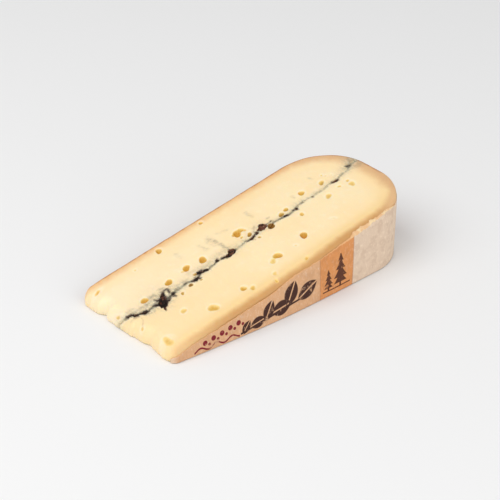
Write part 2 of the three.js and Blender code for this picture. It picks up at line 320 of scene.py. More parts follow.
# %% The route of the ash: distance from the axis, across
ROUTE = [
    (27, 6.5), (33, 4.9), (34.4, 2.8), (35.8, 1.4), (37.8, 0.3), (40.5, -1.6), (43.3, -3),
    (47.2, -2.7), (51.5, -3.4), (57, -2.6), (59.3, -1.9), (62.5, -1.9), (66, -1.4), (68.6, -2.2),
    (71.5, -1.9), (74.5, -0.3), (77, -0.9), (81, -0.8), (83.3, 0), (86, -0.2), (88, -0.8),
    (93.5, 0), (96, 0.1), (99.3, 0.7), (101, 0.3), (107, 1.4), (110.5, 2.5), (113.5, 1.6),
    (116.5, 1.4), (119.5, 1), (123, 0.5), (127, 1.1), (130.3, 2.3), (135.7, 2.9), (139, 2.4),
    (144, 2.3), (148.8, 3.1), (151.6, 2.6), (154.5, 3.2), (158.4, 4.3), (162, 4.9), (165, 6.5),
    (168, 7.2), (176, 7.7),
]


def through(stops, at):
    """A soft curve through a list of (place, value) stops, for every place in at."""
    place, value = np.array(stops, float).T
    k = np.clip(np.searchsorted(place, at) - 1, 0, len(place) - 2)
    before, after = np.maximum(k - 1, 0), np.minimum(k + 2, len(place) - 1)
    step = place[k + 1] - place[k]
    t = np.clip((at - place[k]) / step, 0, 1)
    rise_0 = (value[k + 1] - value[before]) / (place[k + 1] - place[before]) * step
    rise_1 = (value[after] - value[k]) / (place[after] - place[k]) * step
    bend = (2 * t**3 - 3 * t**2 + 1) * value[k] + (3 * t**2 - 2 * t**3) * value[k + 1]
    return bend + (t**3 - 2 * t**2 + t) * rise_0 + (t**3 - t**2) * rise_1


# %% Places on the cut face
JITTER = [(0.2, 1.7, 21), (0.12, 0.8, 22)]


def from_axis(x):
    """Distance from the wheel's axis, along the cut face."""
    return (x - AXIS_X) / math.cos(CUT_ANGLE)


def ash_y(x):
    """Where the ash layer stands, seen from above."""
    return MIDDLE_Y + through(ROUTE, from_axis(x)) + several_waves(JITTER, x)


def on_cut(distance, across):
    """A place on the cut face, from its distances to the axis and to the middle plane."""
    x = AXIS_X + distance * math.cos(CUT_ANGLE)
    return x, MIDDLE_Y + across, cut_height(x)


line_ends = [round(float(ash_y(x)), 1) for x in (TIP_X, HEEL_X)]
print("the line's y at the tip and at the heel:", line_ends)

# %% [markdown]
# ## Eyes
# Gas bubbles leave small round holes, which the knife cuts open: some deep with a golden floor,
# some only grazed, so that they are pale and flat. Each one is a squashed ball with a slightly
# uneven rim, taken out of the field within a small window round it.

# %% Where the eyes are: distance from the axis, across, width, length, depth
# and, in a few, a turn of their own
EYE_TURN = -39.5  # degrees; most are a little longer across this direction than along it
EYES = [
    (37.2, 23.1, 1.7, 4.6, 0.5, -75), (71.2, 25, 2.6, 3.4, 1.2), (95.2, 26.2, 1.8, 2.1, 0.9),
    (47.2, 3.5, 3.1, 3.4, 1.2), (61.1, 5, 3.1, 3.8, 1.3), (71.8, 6.7, 3.1, 3.8, 1.3),
    (79.8, 5.6, 3.1, 4.3, 1.5), (100.7, 8, 3.4, 4.5, 1.5), (103.2, 8.7, 2.6, 2.8, 0.8),
    (103.8, 3.3, 1.9, 2.9, 1.1), (121.6, 3.2, 2.4, 3.0, 0.75), (125.2, 4.3, 2.1, 2.8, 0.9),
    (137.3, 7.9, 2.6, 3.3, 1.0), (147.9, 6.6, 2.5, 3.2, 0.6), (66.2, -3.5, 2.3, 2.1, 0.8),
    (60.5, -5.2, 1.5, 2.1, 0.7), (127.5, -3.6, 2.0, 2.5, 0.65), (143.5, -3.1, 2.8, 3.4, 0.5),
    (156, -4.3, 2.8, 4.0, 0.4), (118.4, -15.1, 2.8, 4.4, 2.2), (102.1, -17, 3.8, 3.6, 1.0),
    (98.4, -18.4, 2.9, 3.5, 0.36), (79, -22.3, 2.7, 3.1, 0.8), (81.7, -25.0, 2.3, 2.8, 0.6),
    (63.1, -22.3, 4.6, 4.4, 0.65), (53.8, -14.4, 2.4, 3.2, 0.4), (38.2, -24.3, 6.4, 7.2, 0.48),
    (113.6, 0.5, 3.2, 3.6, 1.4),
]
SMALL_EYES = [
    (151.6, 10.7, 1.1, 1.2, 0.4), (152.7, 9, 1.0, 0.9, 0.3), (154.7, 7.5, 0.9, 1.0, 0.3),
    (156.4, -1.1, 1.6, 1.8, 0.5), (151.2, -1.5, 1.8, 1.6, 0.4), (111.6, -17.8, 1.3, 1.2, 0.3),
    (100.2, 4.4, 1.3, 1.8, 0.5), (105.3, -1.5, 1.6, 1.7, 0.5), (71.2, -4.2, 1.4, 1.4, 0.4),
    (93.6, -25.1, 2.1, 2.5, 0.35), (91.3, -28.9, 1.7, 2.0, 0.6), (56.6, 22.5, 1.1, 1.4, 0.3),
    (34.9, 5.2, 5.4, 1.3, 0.5, -72), (71.7, 0.6, 1.9, 1.8, 0.6), (128.3, 0.6, 0.9, 0.9, 0.4),
    (138.8, 2.2, 0.9, 0.9, 0.4), (69.3, 6.0, 1.8, 1.2, 0.4), (36.7, -8.9, 1.3, 1.6, 0.5),
    (109, -27.6, 1.7, 2.2, 0.6), (98.9, 8.3, 1.6, 1.8, 0.7), (104.3, 7.2, 1.4, 1.6, 0.5),
    (134.2, -16.4, 2.0, 1.0, 0.2),
]
print("eyes on the cut face:", len(EYES + SMALL_EYES))

# %% The real surface, below the cut's plane
PROBE = np.arange(0, 6, 0.05)  # mm down from the plane


def sample(field, points):
    """The value at points between the cells of a field, or of a field seen from above."""
    n = field.ndim
    place = (points[:, :n] - LOW[:n]) / CELL
    cell = np.clip(np.floor(place).astype(int), 0, COUNT[:n] - 2)
    share = place - cell
    total = np.zeros(len(points))
    for corner in np.ndindex(*(2,) * n):
        weight = np.prod(np.where(corner, share, 1 - share), axis=1)
        total += weight * field[tuple((cell + corner).T)]
    return total


def solid_at(field, x, y, heights):
    """Whether a field is solid at each of some heights above one place."""
    place = np.broadcast_to((x, y), (len(heights), 2))
    return sample(field, np.column_stack([place, heights])) < 0


def on_top(distance, across):
    """The same place on the real surface, which lies a little below the cut's plane."""
    x, y, z = on_cut(distance, across)
    return x, y, (z - PROBE)[solid_at(whole, x, y, z - PROBE).argmax()]


def slopes_at(distance, across):
    """How much the surface rises along x and along y round a place, measured over 2 mm."""
    (x_0, _, low_x), (x_1, _, high_x) = on_top(distance - 1, across), on_top(distance + 1, across)
    (_, y_0, low_y), (_, y_1, high_y) = on_top(distance, across - 1), on_top(distance, across + 1)
    return (high_x - low_x) / (x_1 - x_0), (high_y - low_y) / (y_1 - y_0)


# %% One hollow as an uneven ball
WINDOW = 1.6  # mm of cells round a ball in which its distance is worked out
UNEVEN = (0.08, 0.06)  # how much two and three bulges in its rim stand out


def along_and_aside(dx, dy, turn):
    """A step's parts along a direction and aside of it."""
    return dx * math.cos(turn) + dy * math.sin(turn), dy * math.cos(turn) - dx * math.sin(turn)


def ball_distance(centre, size, turn, seed, power, slopes):
    """A window of cells round an uneven ball, and the distance of those cells to it.

    A power of 2 makes a round ball; about 1 makes a bowl whose sides get flatter to the rim.
    """
    reach = max(size) + WINDOW
    spans = [
        slice(*np.searchsorted(axis, (c - reach, c + reach)))
        for axis, c in zip((xs, ys, zs), centre)
    ]
    dx = xs[spans[0]][:, None, None] - centre[0]
    dy = ys[spans[1]][None, :, None] - centre[1]
    dz = zs[spans[2]][None, None, :] - centre[2] - slopes[0] * dx - slopes[1] * dy
    along, aside = along_and_aside(dx, dy, turn)
    draw = np.random.default_rng(seed).uniform(0, 2 * math.pi, 2)
    angle = np.arctan2(aside, along)
    uneven = 1 + UNEVEN[0] * np.sin(2 * angle + draw[0]) + UNEVEN[1] * np.sin(3 * angle + draw[1])
    reached = (along / size[0]) ** 2 + (aside / size[1]) ** 2 + np.abs(dz / size[2]) ** power
    reached = np.sqrt(reached)
    return tuple(spans), (reached / uneven - 1) * min(size)


# %% The field of the eyes
BOWL = 1.15  # the power of an eye
EYE_SCALE = 1.08  # the noted sizes leave out the soft rim
SUNK = 0.05  # the ball's middle lies this share of its depth below the surface
eyes = np.full(whole.shape, FAR_OFF, np.float32)


def add_ball(field, centre, size, turn, seed, power=2.0, slopes=(math.tan(CUT_ANGLE), 0)):
    """Joins one more ball to a field of hollows."""
    window, distance = ball_distance(centre, size, turn, seed, power, slopes)
    field[window] = np.minimum(field[window], distance)


rims = []
for number, (distance, across, width, length, depth, *turn) in enumerate(EYES + SMALL_EYES):
    x, y, z = on_top(distance, across)
    size = (EYE_SCALE * width / 2, EYE_SCALE * length / 2, depth)
    turned = math.radians(turn[0] if turn else EYE_TURN)
    slopes = slopes_at(distance, across)
    add_ball(eyes, (x, y, z - SUNK * depth), size, turned, number, BOWL, slopes)
    rims.append((x, y, turned, *size[:2]))
print("deepest eye:", max(eye[4] for eye in EYES), "mm")

# %% A few more underneath, at random places
UNDERSIDE_EYES = 13
for number in range(UNDERSIDE_EYES):
    draw = np.random.default_rng(300 + number).uniform(0, 1, 5)
    side = 1 if number % 2 else -1
    x, y = -40 + 96 * draw[0], MIDDLE_Y + side * (6 + 18 * draw[1])
    width = 2.2 + 2.4 * draw[2]
    size = (width / 2, width * (0.4 + 0.1 * draw[3]), 0.4 * width)
    add_ball(eyes, (x, y, 0.0), size, 3 * draw[4], 200 + number, BOWL, (0, 0))
print("eyes:", len(rims), "on top and", UNDERSIDE_EYES, "underneath")


def outside_rims(points):
    """How far points lie outside the nearest eye of the upper face, seen from above, in mm."""
    nearest = np.full(len(points), FAR_OFF)
    for x, y, turn, *size in rims:
        along, aside = along_and_aside(points[:, 0] - x, points[:, 1] - y, turn)
        nearest = np.minimum(nearest, (np.hypot(along / size[0], aside / size[1]) - 1) * min(size))
    return nearest + FAR_OFF * smooth(under_cut(points), 5, 6)  # none on the underside


# %% [markdown]
# ## Openings along the ash
# Where the two layers of curd never grew together, the ash lies open in ragged little caves.
# They are made like the eyes, but long along the line, several to a cave, and with random waves
# added to their distance so that no rim is round.

# %% The field of the openings: distance, across, length, width, turn in degrees
OPENINGS = [
    (36.8, 0.9, 3.0, 1.1, -25), (39.4, -1.3, 2.8, 1.2, -25), (42.2, -2.6, 3.4, 1.9, -28),
    (44.6, -3.2, 1.8, 0.8, 0), (48.5, -2.7, 2.0, 1.0, -40), (51.5, -3.5, 6.6, 3.4, 50),
    (50.4, -5.4, 2.6, 1.6, 10), (49.9, -7.0, 2.4, 0.7, 65), (54.0, 0.1, 3.8, 1.5, 50),
    (54.8, -4.2, 2.6, 1.3, 10), (57.6, -2.6, 1.8, 0.7, 20), (70.2, -2.2, 3.2, 1.8, 0),
    (73.8, 0, 2.6, 1.7, -15), (76, -0.8, 2.8, 1.6, -12), (83.4, 0.3, 1.6, 1.7, 0),
    (86.8, -0.6, 2.6, 0.8, -20), (89.2, -0.7, 4.6, 2.2, -5), (91.6, 0.3, 4.0, 3.2, 45),
    (103, 0.5, 2.8, 1.0, 15), (106, 1.2, 2.0, 0.8, 12), (110.7, 3.0, 5.4, 3.5, 50),
    (108.6, 3.0, 2.4, 1.3, 20), (128.2, 0.6, 1.2, 1.0, 0), (152.9, 2.8, 2.8, 1.4, 5),
]
CAVE_DEPTH = 0.28  # as a share of its length and width together
CAVE_EDGE = 1.5  # mm round a cave that its ragged waves change
CAVE_WAVES = [(0.3, 1.6, 31), (0.26, 0.9, 32)]
openings = np.full(whole.shape, FAR_OFF, np.float32)
for number, (distance, across, length, width, turn) in enumerate(OPENINGS):
    centre = on_cut(distance, across)
    size = (length / 2, width / 2, CAVE_DEPTH * (length + width))
    add_ball(openings, centre, size, math.radians(turn), 400 + number)
near = np.nonzero(openings < CAVE_EDGE)
places = [LOW[k] + CELL * near[k] for k in range(3)]
openings[near] += several_waves(CAVE_WAVES, *places).astype(np.float32)
print("openings:", len(OPENINGS))

# %% [markdown]
# A cave that the ash layer crosses would look cut with a ruler if the two halves of the cheese met
# it in sharp steps. So the cut between whole and hollows is blended over a fifth of a millimetre.

# %% Taking the hollows out
RIM_BLEND = 0.22


def blended_max(a, b, blend):
    """The larger of two fields, with their meeting line rounded over a short distance."""
    share = np.clip(0.5 + 0.5 * (a - b) / blend, 0, 1)
    return b + (a - b) * share + blend * share * (1 - share)


hollowed = blended_max(whole, -np.minimum(eyes, openings), RIM_BLEND)
print("taken out:", round(float(((whole < 0) & (hollowed > 0)).sum()) * CELL**3), "mm3")

# %% [markdown]
# ## The two halves of the cheese
# The ash divides the body into a half on the label side and one on the far side. Each half takes
# the cells on its side of the line. The line is thicker near the tip, where more ash was left.

# %% How thick the ash is along the line
THICKNESS = [
    (27, 0.3), (33, 0.4), (36, 0.6), (44, 0.8), (52, 1.0), (58, 0.6), (66, 0.4), (73, 0.6),
    (80, 0.4), (88, 0.6), (95, 0.3), (103, 0.4), (112, 0.5), (118, 0.3), (127, 0.4), (136, 0.3),
    (153, 0.4), (160, 0.3), (176, 0.3),
]
THINNEST = 0.12  # half the layer is never thinner
OWN_WAVE = 0.1  # height of the waves on each side
OVERLAP = 0.1  # the cheese reaches this far into the ash, so no gap shows between them
UNDER_RIND = 1.3  # the layer ends this far inside the heel, where the rind has grown over it


def ash_half_thickness(x, side):
    """Half the thickness of the layer, with small waves of its own on each side."""
    own = OWN_WAVE * waves(1.3, 41 + side, x)
    return np.maximum(THINNEST, through(THICKNESS, from_axis(x)) / 2 + own)


print("thickest ash:", max(THICKNESS, key=lambda stop: stop[1])[1], "mm")


# %% From a field to one closed skin
def faces_of(field):
    """The zero level of a field as points in mm and four-sided faces."""
    grid = vdb.FloatGrid(FAR_OFF)
    grid.copyFromArray(np.ascontiguousarray(field, np.float32))
    points, _, quads = grid.convertToPolygons(isovalue=0.0, adaptivity=0.0)
    return LOW + CELL * np.asarray(points, float), np.asarray(quads)


def main_skin(points, quads):
    """Keeps the largest connected part of a mesh. Loose crumbs are dropped."""
    group = np.arange(len(points))
    while True:
        least = group[quads].min(axis=1)
        spread = group.copy()
        for k in range(4):
            np.minimum.at(spread, quads[:, k], least)
        spread = spread[spread]
        if (spread == group).all():
            break
        group = spread
    names, sizes = np.unique(group[quads[:, 0]], return_counts=True)
    kept = quads[group[quads[:, 0]] == names[sizes.argmax()]]
    used, renumbered = np.unique(kept, return_inverse=True)
    return points[used], renumbered.reshape(-1, 4)


# %% [markdown]
# A finish often depends on where a point lies: how deep in a hole, how close to the ash, how far
# from the rind. We measure such things once for every vertex and store them as attributes, which
# the materials read later. They move with the mesh and work from any side.


# %% A mesh with measured attributes
def add_piece(name, points, faces, attributes):
    """A smooth-shaded mesh object. Points in mm; each attribute has one number per point."""
    mesh = bpy.data.meshes.new(name)
    corners = faces.tolist() if isinstance(faces, np.ndarray) else faces
    mesh.from_pydata((points * MM).tolist(), [], corners)
    for key, values in attributes.items():
        layer = mesh.attributes.new(key, "FLOAT", "POINT")
        layer.data.foreach_set("value", np.asarray(values, np.float32))
    mesh.validate()
    mesh.shade_smooth()
    piece = bpy.data.objects.new(name, mesh)
    bpy.context.scene.collection.objects.link(piece)
    return piece


# %% [markdown]
# The knife spreads the ash a little over the cut. Beside the line lies a grey haze, blots mark
# where the layer was thick, and smears run away from it. We note them in the same measures as the
# route, as stops or as short strokes, and store how far each vertex is from them, so that the
# finish can draw soft or ragged edges round them later.

# %% Grey haze of fine ash beside the line: distance, half width, strength
HAZE = [
    (27, 1.4, 0.2), (35, 2.0, 0.5), (44, 3.2, 0.9), (53, 4.4, 1.0), (60, 2.6, 0.7), (68, 2, 0.6),
    (76, 2, 0.7), (84, 1.6, 0.6), (91, 2.4, 0.7), (98, 1.6, 0.6), (111, 2.4, 0.7),
    (118, 1.3, 0.5), (128, 1.6, 0.6), (137, 1.2, 0.45), (153, 1.5, 0.5), (161, 2.2, 0.6),
    (168, 3.4, 0.9), (176, 3.4, 0.9),
]
print("stops of the haze:", len(HAZE))

# %% The thin line itself: distance, half width, darkness
LINE = [
    (27, 0.2, 0.0), (34.6, 0.2, 0.0), (36.6, 0.5, 0.5), (40.5, 0.4, 0.4), (44, 0.5, 0.7),
    (46, 0.6, 0.7), (50, 0.7, 0.9), (58, 0.6, 0.7), (60, 0.4, 0.4), (66, 0.4, 0.4),
    (68, 0.3, 0.3), (72, 0.4, 0.8), (78, 0.35, 0.6), (84, 0.3, 0.4), (88, 0.4, 0.7),
    (94, 0.3, 0.3), (99, 0.3, 0.4), (104, 0.4, 0.7), (108, 0.4, 0.4), (112, 0.4, 0.7),
    (117, 0.35, 0.5), (122, 0.4, 0.7), (127, 0.4, 0.4), (131, 0.35, 0.25), (133, 0.3, 0.12),
    (144, 0.25, 0.1), (149, 0.3, 0.35), (156, 0.3, 0.1), (161, 0.3, 0.15), (163.6, 0.35, 0.3),
    (165, 0.25, 0.0), (176, 0.25, 0.0),
]
print("stops of the line:", len(LINE))

# %% Black blots beside and on it: distance and across of both ends, half width
BLOTS = [
    (36.6, 1.0, 38.2, 0, 0.55), (38.9, -1.3, 40.5, -2.1, 0.6), (41.3, -2.5, 43.3, -2.9, 0.8),
    (41.9, -4.0, 42.2, -3, 0.4), (43.8, -3.0, 45.4, -2.9, 0.4), (47.6, -2.1, 49.2, -3.9, 0.55),
    (49.8, 0, 50.2, -1.4, 0.25), (50.8, -4.6, 52.8, -2.2, 1.8), (50.3, -6.0, 49.5, -8.3, 0.25),
    (53.2, -1.2, 55.2, 1.5, 0.75), (55.6, 2, 57.2, 1.9, 0.15), (57.6, 1.4, 57.4, -0.4, 0.1),
    (57.2, -0.8, 56.2, -1.9, 0.15), (54.2, -4.4, 56.6, -3.7, 0.45),
    (56.8, -2.8, 58.4, -2.4, 0.35), (63.4, -1.8, 65.2, -1.5, 0.1), (68.9, -2.3, 71, -2.2, 0.7),
    (72.9, 0.1, 74.8, -0.4, 0.7), (74.8, -0.6, 77.2, -1.1, 0.7), (82, -0.5, 83.4, 0.2, 0.45),
    (83.5, 0.4, 83.9, 1.6, 0.2), (86, -0.3, 87.8, -1, 0.25), (88.2, -0.8, 91.4, -0.9, 0.6),
    (91.3, 1.2, 92.4, -0.2, 0.6), (99.4, 0.8, 100.8, 0.2, 0.25), (102, 0.1, 104.2, 0.8, 0.45),
    (104.4, 0.9, 107, 1.4, 0.3), (113, 2.5, 115.6, 3.1, 0.3), (121.8, 0.7, 123, 0.5, 0.3),
    (127, 1.1, 128.5, 1.2, 0.35), (128.2, 0.2, 128.4, 0.8, 0.2), (132.4, 2.4, 132.8, 2.4, 0.3),
    (138.5, 1.9, 138.7, 2.2, 0.1), (151.8, 2.7, 153.8, 2.8, 0.6), (162.8, 7.2, 164.4, 6.3, 0.2),
]
print("blots:", len(BLOTS))

# %% Smears that the knife pulled away from the line: both ends, half width, strength
SMEARS = [
    (90.2, 14.6, 90.9, 11, 1.3, 0.55), (90.9, 11, 91.1, 7.2, 1.1, 0.55),
    (91.1, 7.2, 91.9, 2.2, 0.9, 0.6), (88.4, 13, 89, 9, 0.8, 0.25),
    (84.7, 14.6, 85.2, 10, 0.9, 0.3), (112.4, 16.6, 112.6, 11.4, 0.7, 0.4),
    (165, 4.8, 173, 2.6, 2.4, 0.25), (95, 14.9, 99, 13.4, 0.9, 0.18),
    (115.5, 6.1, 117, 6, 0.6, 0.45), (74.6, 17.7, 74.2, 13.7, 1.0, 0.22),
    (146.5, 13, 146.6, 12, 0.7, 0.3), (133.2, 8.6, 133, 7.9, 0.7, 0.3),
    (39.8, -4.6, 38.5, -7.8, 0.3, 0.4), (38.5, -7.8, 36.5, -9.1, 0.3, 0.35),
    (48.8, 3.2, 51, 2.6, 1.4, 0.5), (52.4, 2.4, 50, -0.6, 0.7, 0.5), (55.2, 4, 57, 3.4, 0.6, 0.6),
    (59, 2.2, 60.4, 1.6, 0.5, 0.5), (45.6, 0.6, 47.8, 0.4, 0.9, 0.45), (39, 1, 44, 0, 0.8, 0.4),
    (36.5, 2.4, 39.5, 2.8, 1.2, 0.3), (62, 0.6, 67, 0.2, 1.0, 0.3),
    (36.4, -2, 45.6, -5.4, 0.5, 0.3), (71, 0.9, 72.4, 0.3, 0.6, 0.5), (70, 3, 80, 1.6, 1.6, 0.25),
    (84, 3, 90, 3.6, 1.6, 0.25), (106, 3.6, 109, 5.6, 1.0, 0.35),
    (110.2, 0.4, 111.6, -0.2, 0.4, 0.5), (162.5, 7.4, 167, 6.8, 1.2, 0.35),
    (163, 5.4, 170, 8.4, 3.2, 0.35), (55.2, 2.4, 58, 0.8, 0.8, 0.8),
    (46, -2.6, 49.6, -1.6, 0.8, 0.6), (59, -1, 68, -1.4, 0.7, 0.45),
    (50.4, -1, 53, 1.4, 0.8, 0.6),
]
print("smears:", len(SMEARS))

# %% How near the strokes are, bent a little so that none looks drawn with a ruler
BENDS = [(0.55, 2.4, 0), (0.3, 1.1, 1)]  # height and length of the waves, and a step of the seed


def to_strokes(strokes, distance, across):
    """For each stroke, how far points lie from it, and the rest of what is noted about it."""
    bent = []
    for place, seed in ((distance, 71), (across, 73)):
        for height, length, step in BENDS:
            place = place + height * waves(length, seed + step, distance, across)
        bent.append(place)
    for from_axis_0, across_0, from_axis_1, across_1, *rest in strokes:
        ends = np.array([(from_axis_0, across_0), (from_axis_1, across_1)], float)
        yield path_distance(ends, *bent), rest


# %% All that the ash does to a point
PULLED_FAR, PULLED_NEAR = 1.25, 0.7  # the knife pulled the haze towards the far side
RIND_HIDES = 3.0  # added to the distances from line and blots under the rind


def ash_marks(points):
    """What the ash does at each point: haze and smears, and distances to the line and blots."""
    distance = from_axis(points[:, 0])
    across = points[:, 1] - MIDDLE_Y
    width = through([(d, w) for d, w, _ in HAZE], distance)
    strength = through([(d, s) for d, _, s in HAZE], distance)
    half = through([(d, w) for d, w, _ in LINE], distance)
    darkness = through([(d, b) for d, _, b in LINE], distance)
    aside = points[:, 1] - ash_y(points[:, 0])
    away = np.abs(aside)
    width = width * np.where(aside > 0, PULLED_FAR, PULLED_NEAR)
    haze = strength * np.exp(-((away / width) ** 1.3))
    smear = np.zeros(len(points))
    for gap, (reach, depth) in to_strokes(SMEARS, distance, across):
        smear = np.maximum(smear, depth * np.exp(-((gap / reach) ** 2)))
    blot = np.full(len(points), FAR_OFF)
    for gap, (reach,) in to_strokes(BLOTS, distance, across):
        blot = np.minimum(blot, gap - reach)
    below = under_cut(points)
    under_rind = smooth(points[:, 0], HEEL_X - 14, HEEL_X - 9) * smooth(below, 2, 4)
    smear = smear * smooth(below, 4, 2)
    return {
        "haze": haze * (1 - under_rind),
        "smear": smear,
        "aside": aside,
        "line": away - half + RIND_HIDES * under_rind,
        "blot": blot + RIND_HIDES * under_rind,
        "soot": darkness,
    }


# %% [markdown]
# Each half is now cut off along the line, turned into faces and measured. Near the rim three
# distances are kept apart, because the rind covers the far side, the heel and the bare corner,
# the tan reaches inwards from them, and above the label the paste gets its own tan and painted
# shade.


# %% The two halves
def half_of_the_cheese(name, node, side):
    """The half on one side of the ash: side is -1 for the label side and 1 for the far side."""
    open_here = smooth(xs, HEEL_X - UNDER_RIND, HEEL_X - UNDER_RIND - 1)
    line = ash_y(xs) + side * (ash_half_thickness(xs, side) * open_here - OVERLAP)
    split = side * (line[:, None, None] - y3)
    points, quads = main_skin(*faces_of(np.maximum(hollowed, split)))
    far, heel, papered, corner = (
        sample(field, points)
        for field in (cut_sides["far"], cut_sides["heel"], cut_sides["label"], bare_corner)
    )
    rim = np.minimum(far, heel)
    corner += 5 * smooth(under_cut(points), 5, 3)  # no rind there at the cut's edge
    attributes = {
        "depth": -sample(whole, points),
        "eye": sample(eyes, points),
        "outside_rim": outside_rims(points),
        "opening": sample(openings, points),
        "rind": np.minimum(rim, corner),
        "tanning": np.minimum(rim, papered + 16 * smooth(-points[:, 1], 12, 32)),
        "papered": papered,
        **ash_marks(points),
    }
    piece = add_piece(name, points, quads[:, ::-1], attributes)
    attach(piece, "root")
    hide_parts(node)
    print(name, len(points), "points,", 2 * len(quads), "triangles")
    return piece


label_half = half_of_the_cheese("cheese_label_side", "paste_label_side", -1)
far_half = half_of_the_cheese("cheese_far_side", "paste_far_side", 1)

# %% [markdown]
# ## The layer of ash
# Between the halves stands the ash itself, a wall less than a millimetre thick from the top cut to
# the bottom one. It is a strip with many short steps along the route. At each step we look down
# into the field to find where the cheese begins, so the ash is flush with the cut and lies at the
# bottom of the open caves.

# %% The strip of ash
ASH_STEP = 0.4
ASH_ROWS = 26
LIP, LIP_SUNK = 0.3, 0.02  # how far the smear on the cut reaches over each half, and its drop
CREST = 0.05  # how far the ridge between the lips stands up
ASH_FOOT, SHOULDER = 0.03, 0.2  # the flanks' ends, inside the underside and below the top
ASH_AHEAD = 0.2  # the steps start this far in front of the tip's foremost line
LEAST_CHEESE = 0.8  # a lower column gets no ash
ASH_WAVE = 0.05  # height of the crumbs on its flanks
COLUMN = np.arange(-0.5, 32.5, 0.1)


def column(x, y):
    """Heights of the underside and of the top of the hollowed cheese at one place."""
    solid = np.nonzero(solid_at(hollowed, x, y, COLUMN))[0]
    return (COLUMN[solid[0]], COLUMN[solid[-1]]) if len(solid) else (0.0, 0.0)


def ash_rings():
    """One closed ring of points for each step along the route."""
    rings = []
    for x in np.arange(TIP_X - ASH_AHEAD, HEEL_X - UNDER_RIND, ASH_STEP):
        y = float(ash_y(x))
        low, high = column(x, y)
        if high - low < LEAST_CHEESE:
            continue
        rows = low + ASH_FOOT + (high - SHOULDER - low) * np.linspace(0, 1, ASH_ROWS)
        ring = []
        for side in (-1, 1):
            wall = y + side * float(ash_half_thickness(x, side))
            lip = wall + side * LIP
            lip_height = min(high, column(x, lip)[1]) - LIP_SUNK
            flank = [(x, wall, z) for z in rows] + [(x, lip, lip_height)]
            ring += flank if side < 0 else [(x, y, high + CREST)] + flank[::-1]
        rings.append(ring)
    return np.array(rings)


rings = ash_rings()
around = rings.shape[1]
rings[:, :, 1] += ASH_WAVE * waves(0.9, 51, *rings.transpose(2, 0, 1))
print("ash strip:", len(rings), "steps of", around, "points")

# %% The faces between the rings, and the two ends
ash_faces = []
for r in range(len(rings) - 1):
    here, there = r * around, (r + 1) * around
    for i in range(around):
        beside = (i + 1) % around
        ash_faces.append((here + i, there + i, there + beside, here + beside))
last = (len(rings) - 1) * around
for first, ends in ((0, (0, 1, 3, 2)), (last, (0, 2, 3, 1))):
    for i in range(ASH_ROWS):
        cap = (i, i + 1, around - 1 - i, around - 2 - i)
        ash_faces.append(tuple(first + cap[k] for k in ends))
    crest = (ASH_ROWS, ASH_ROWS + 1, ASH_ROWS + 2)
    ash_faces.append(tuple(first + k for k in (crest if first == 0 else crest[::-1])))
ash_points = rings.reshape(-1, 3)
ash_measures = {"depth": -sample(whole, ash_points), "eye": sample(eyes, ash_points)}
ash_sheet = add_piece("ash", ash_points, ash_faces, {**ash_measures, **ash_marks(ash_points)})
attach(ash_sheet, "root")
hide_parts("ash_layer")
print("ash:", len(ash_faces), "faces")

# %% [markdown]
# ## The paper label
# A strip of printed kraft paper is glued to the flat side of the wheel and folds round the rim's
# corner. The knife tore its upper edge a few millimetres below the cut. We lay a fine grid over
# the same wall as the cheese, a hair outside it, and give the paper small waves where the glue
# lets go. The grid remembers how far along and how high each point is, which places the print.

# %% The wall that the label follows
GLUE_GAP = 0.08
PAPER = 0.26
LABEL_FOOT = 0.3
LABEL_IN_TIP = 7  # points of the tip's corner that the label covers
LABEL_STEP = 0.45
LABEL_LEAD = 1.7  # the print is measured from this far on
PRINT_START = -65.0  # where it starts, in the print's own measure


def label_wall():
    """Matching points of the floor and the cut outline below the label, and how far along."""
    low, high = (
        np.concatenate([loop["tip"][-LABEL_IN_TIP:-1], loop["label"][:-LABEL_SHORT]])
        for loop in (floor_loop, cut_loop)
    )
    steps = np.linalg.norm(np.diff(low + high, axis=0) / 2, axis=1)
    along = np.concatenate([[0], np.cumsum(steps)]) - LABEL_LEAD
    places = np.linspace(along[0], along[-1], int((along[-1] - along[0]) / LABEL_STEP))
    resample = lambda path: np.stack([np.interp(places, along, path[:, k]) for k in (0, 1)], 1)
    return resample(low), resample(high), places


def outward(path):
    """The direction out of the wall at each point of a path."""
    tangent = np.gradient(path, axis=0)
    tangent /= np.linalg.norm(tangent, axis=1, keepdims=True)
    return np.stack([tangent[:, 1], -tangent[:, 0]], 1)


low_path, high_path, along = label_wall()
print("label:", round(float(along[-1]), 1), "mm long")

# %% How far the torn edge climbs past the foot of the cheese's rounded edge: along, height
CLIMB = [
    (-3, -0.3), (-1.5, 0.5), (0, 1.1), (2.5, 0.7), (6, -0.1), (12, -0.4), (30, -0.5), (46, -0.5),
    (54, 0.2), (60, 0.7), (68, 0.6), (75, 0.4), (83, 0.6), (88, 0.9), (94, 1.4), (97, 1.7),
    (103, 1.7), (107, 1.5), (114, 1.6), (118, 0.9), (122, -0.1), (130, -0.5), (150, -0.7),
]
# and how much of it is bare: there the printed face is gone and the pale inside shows
BARE = [(0, 0.4), (50, 0.5), (90, 0.6), (95, 1.4), (101, 1.3), (105, 0.9), (112, 0.7), (150, 0.5)]
ridge = cut_height(high_path[:, 0]) - edge_drop(high_path[:, 0])
heads = ridge + through(CLIMB, along)
heads += several_waves([(0.2, 2.1, 61), (0.15, 0.8, 62)], along)
print("label's height:", np.round([heads.min(), heads.max()], 1).tolist(), "mm")

# %% The sheet of paper
LABEL_ROWS = 56
PAPER_WAVES = [(0.06, 7, 63), (0.03, 2, 64)]
PINCH = 0.7  # how much of its distance from the cheese the torn edge loses


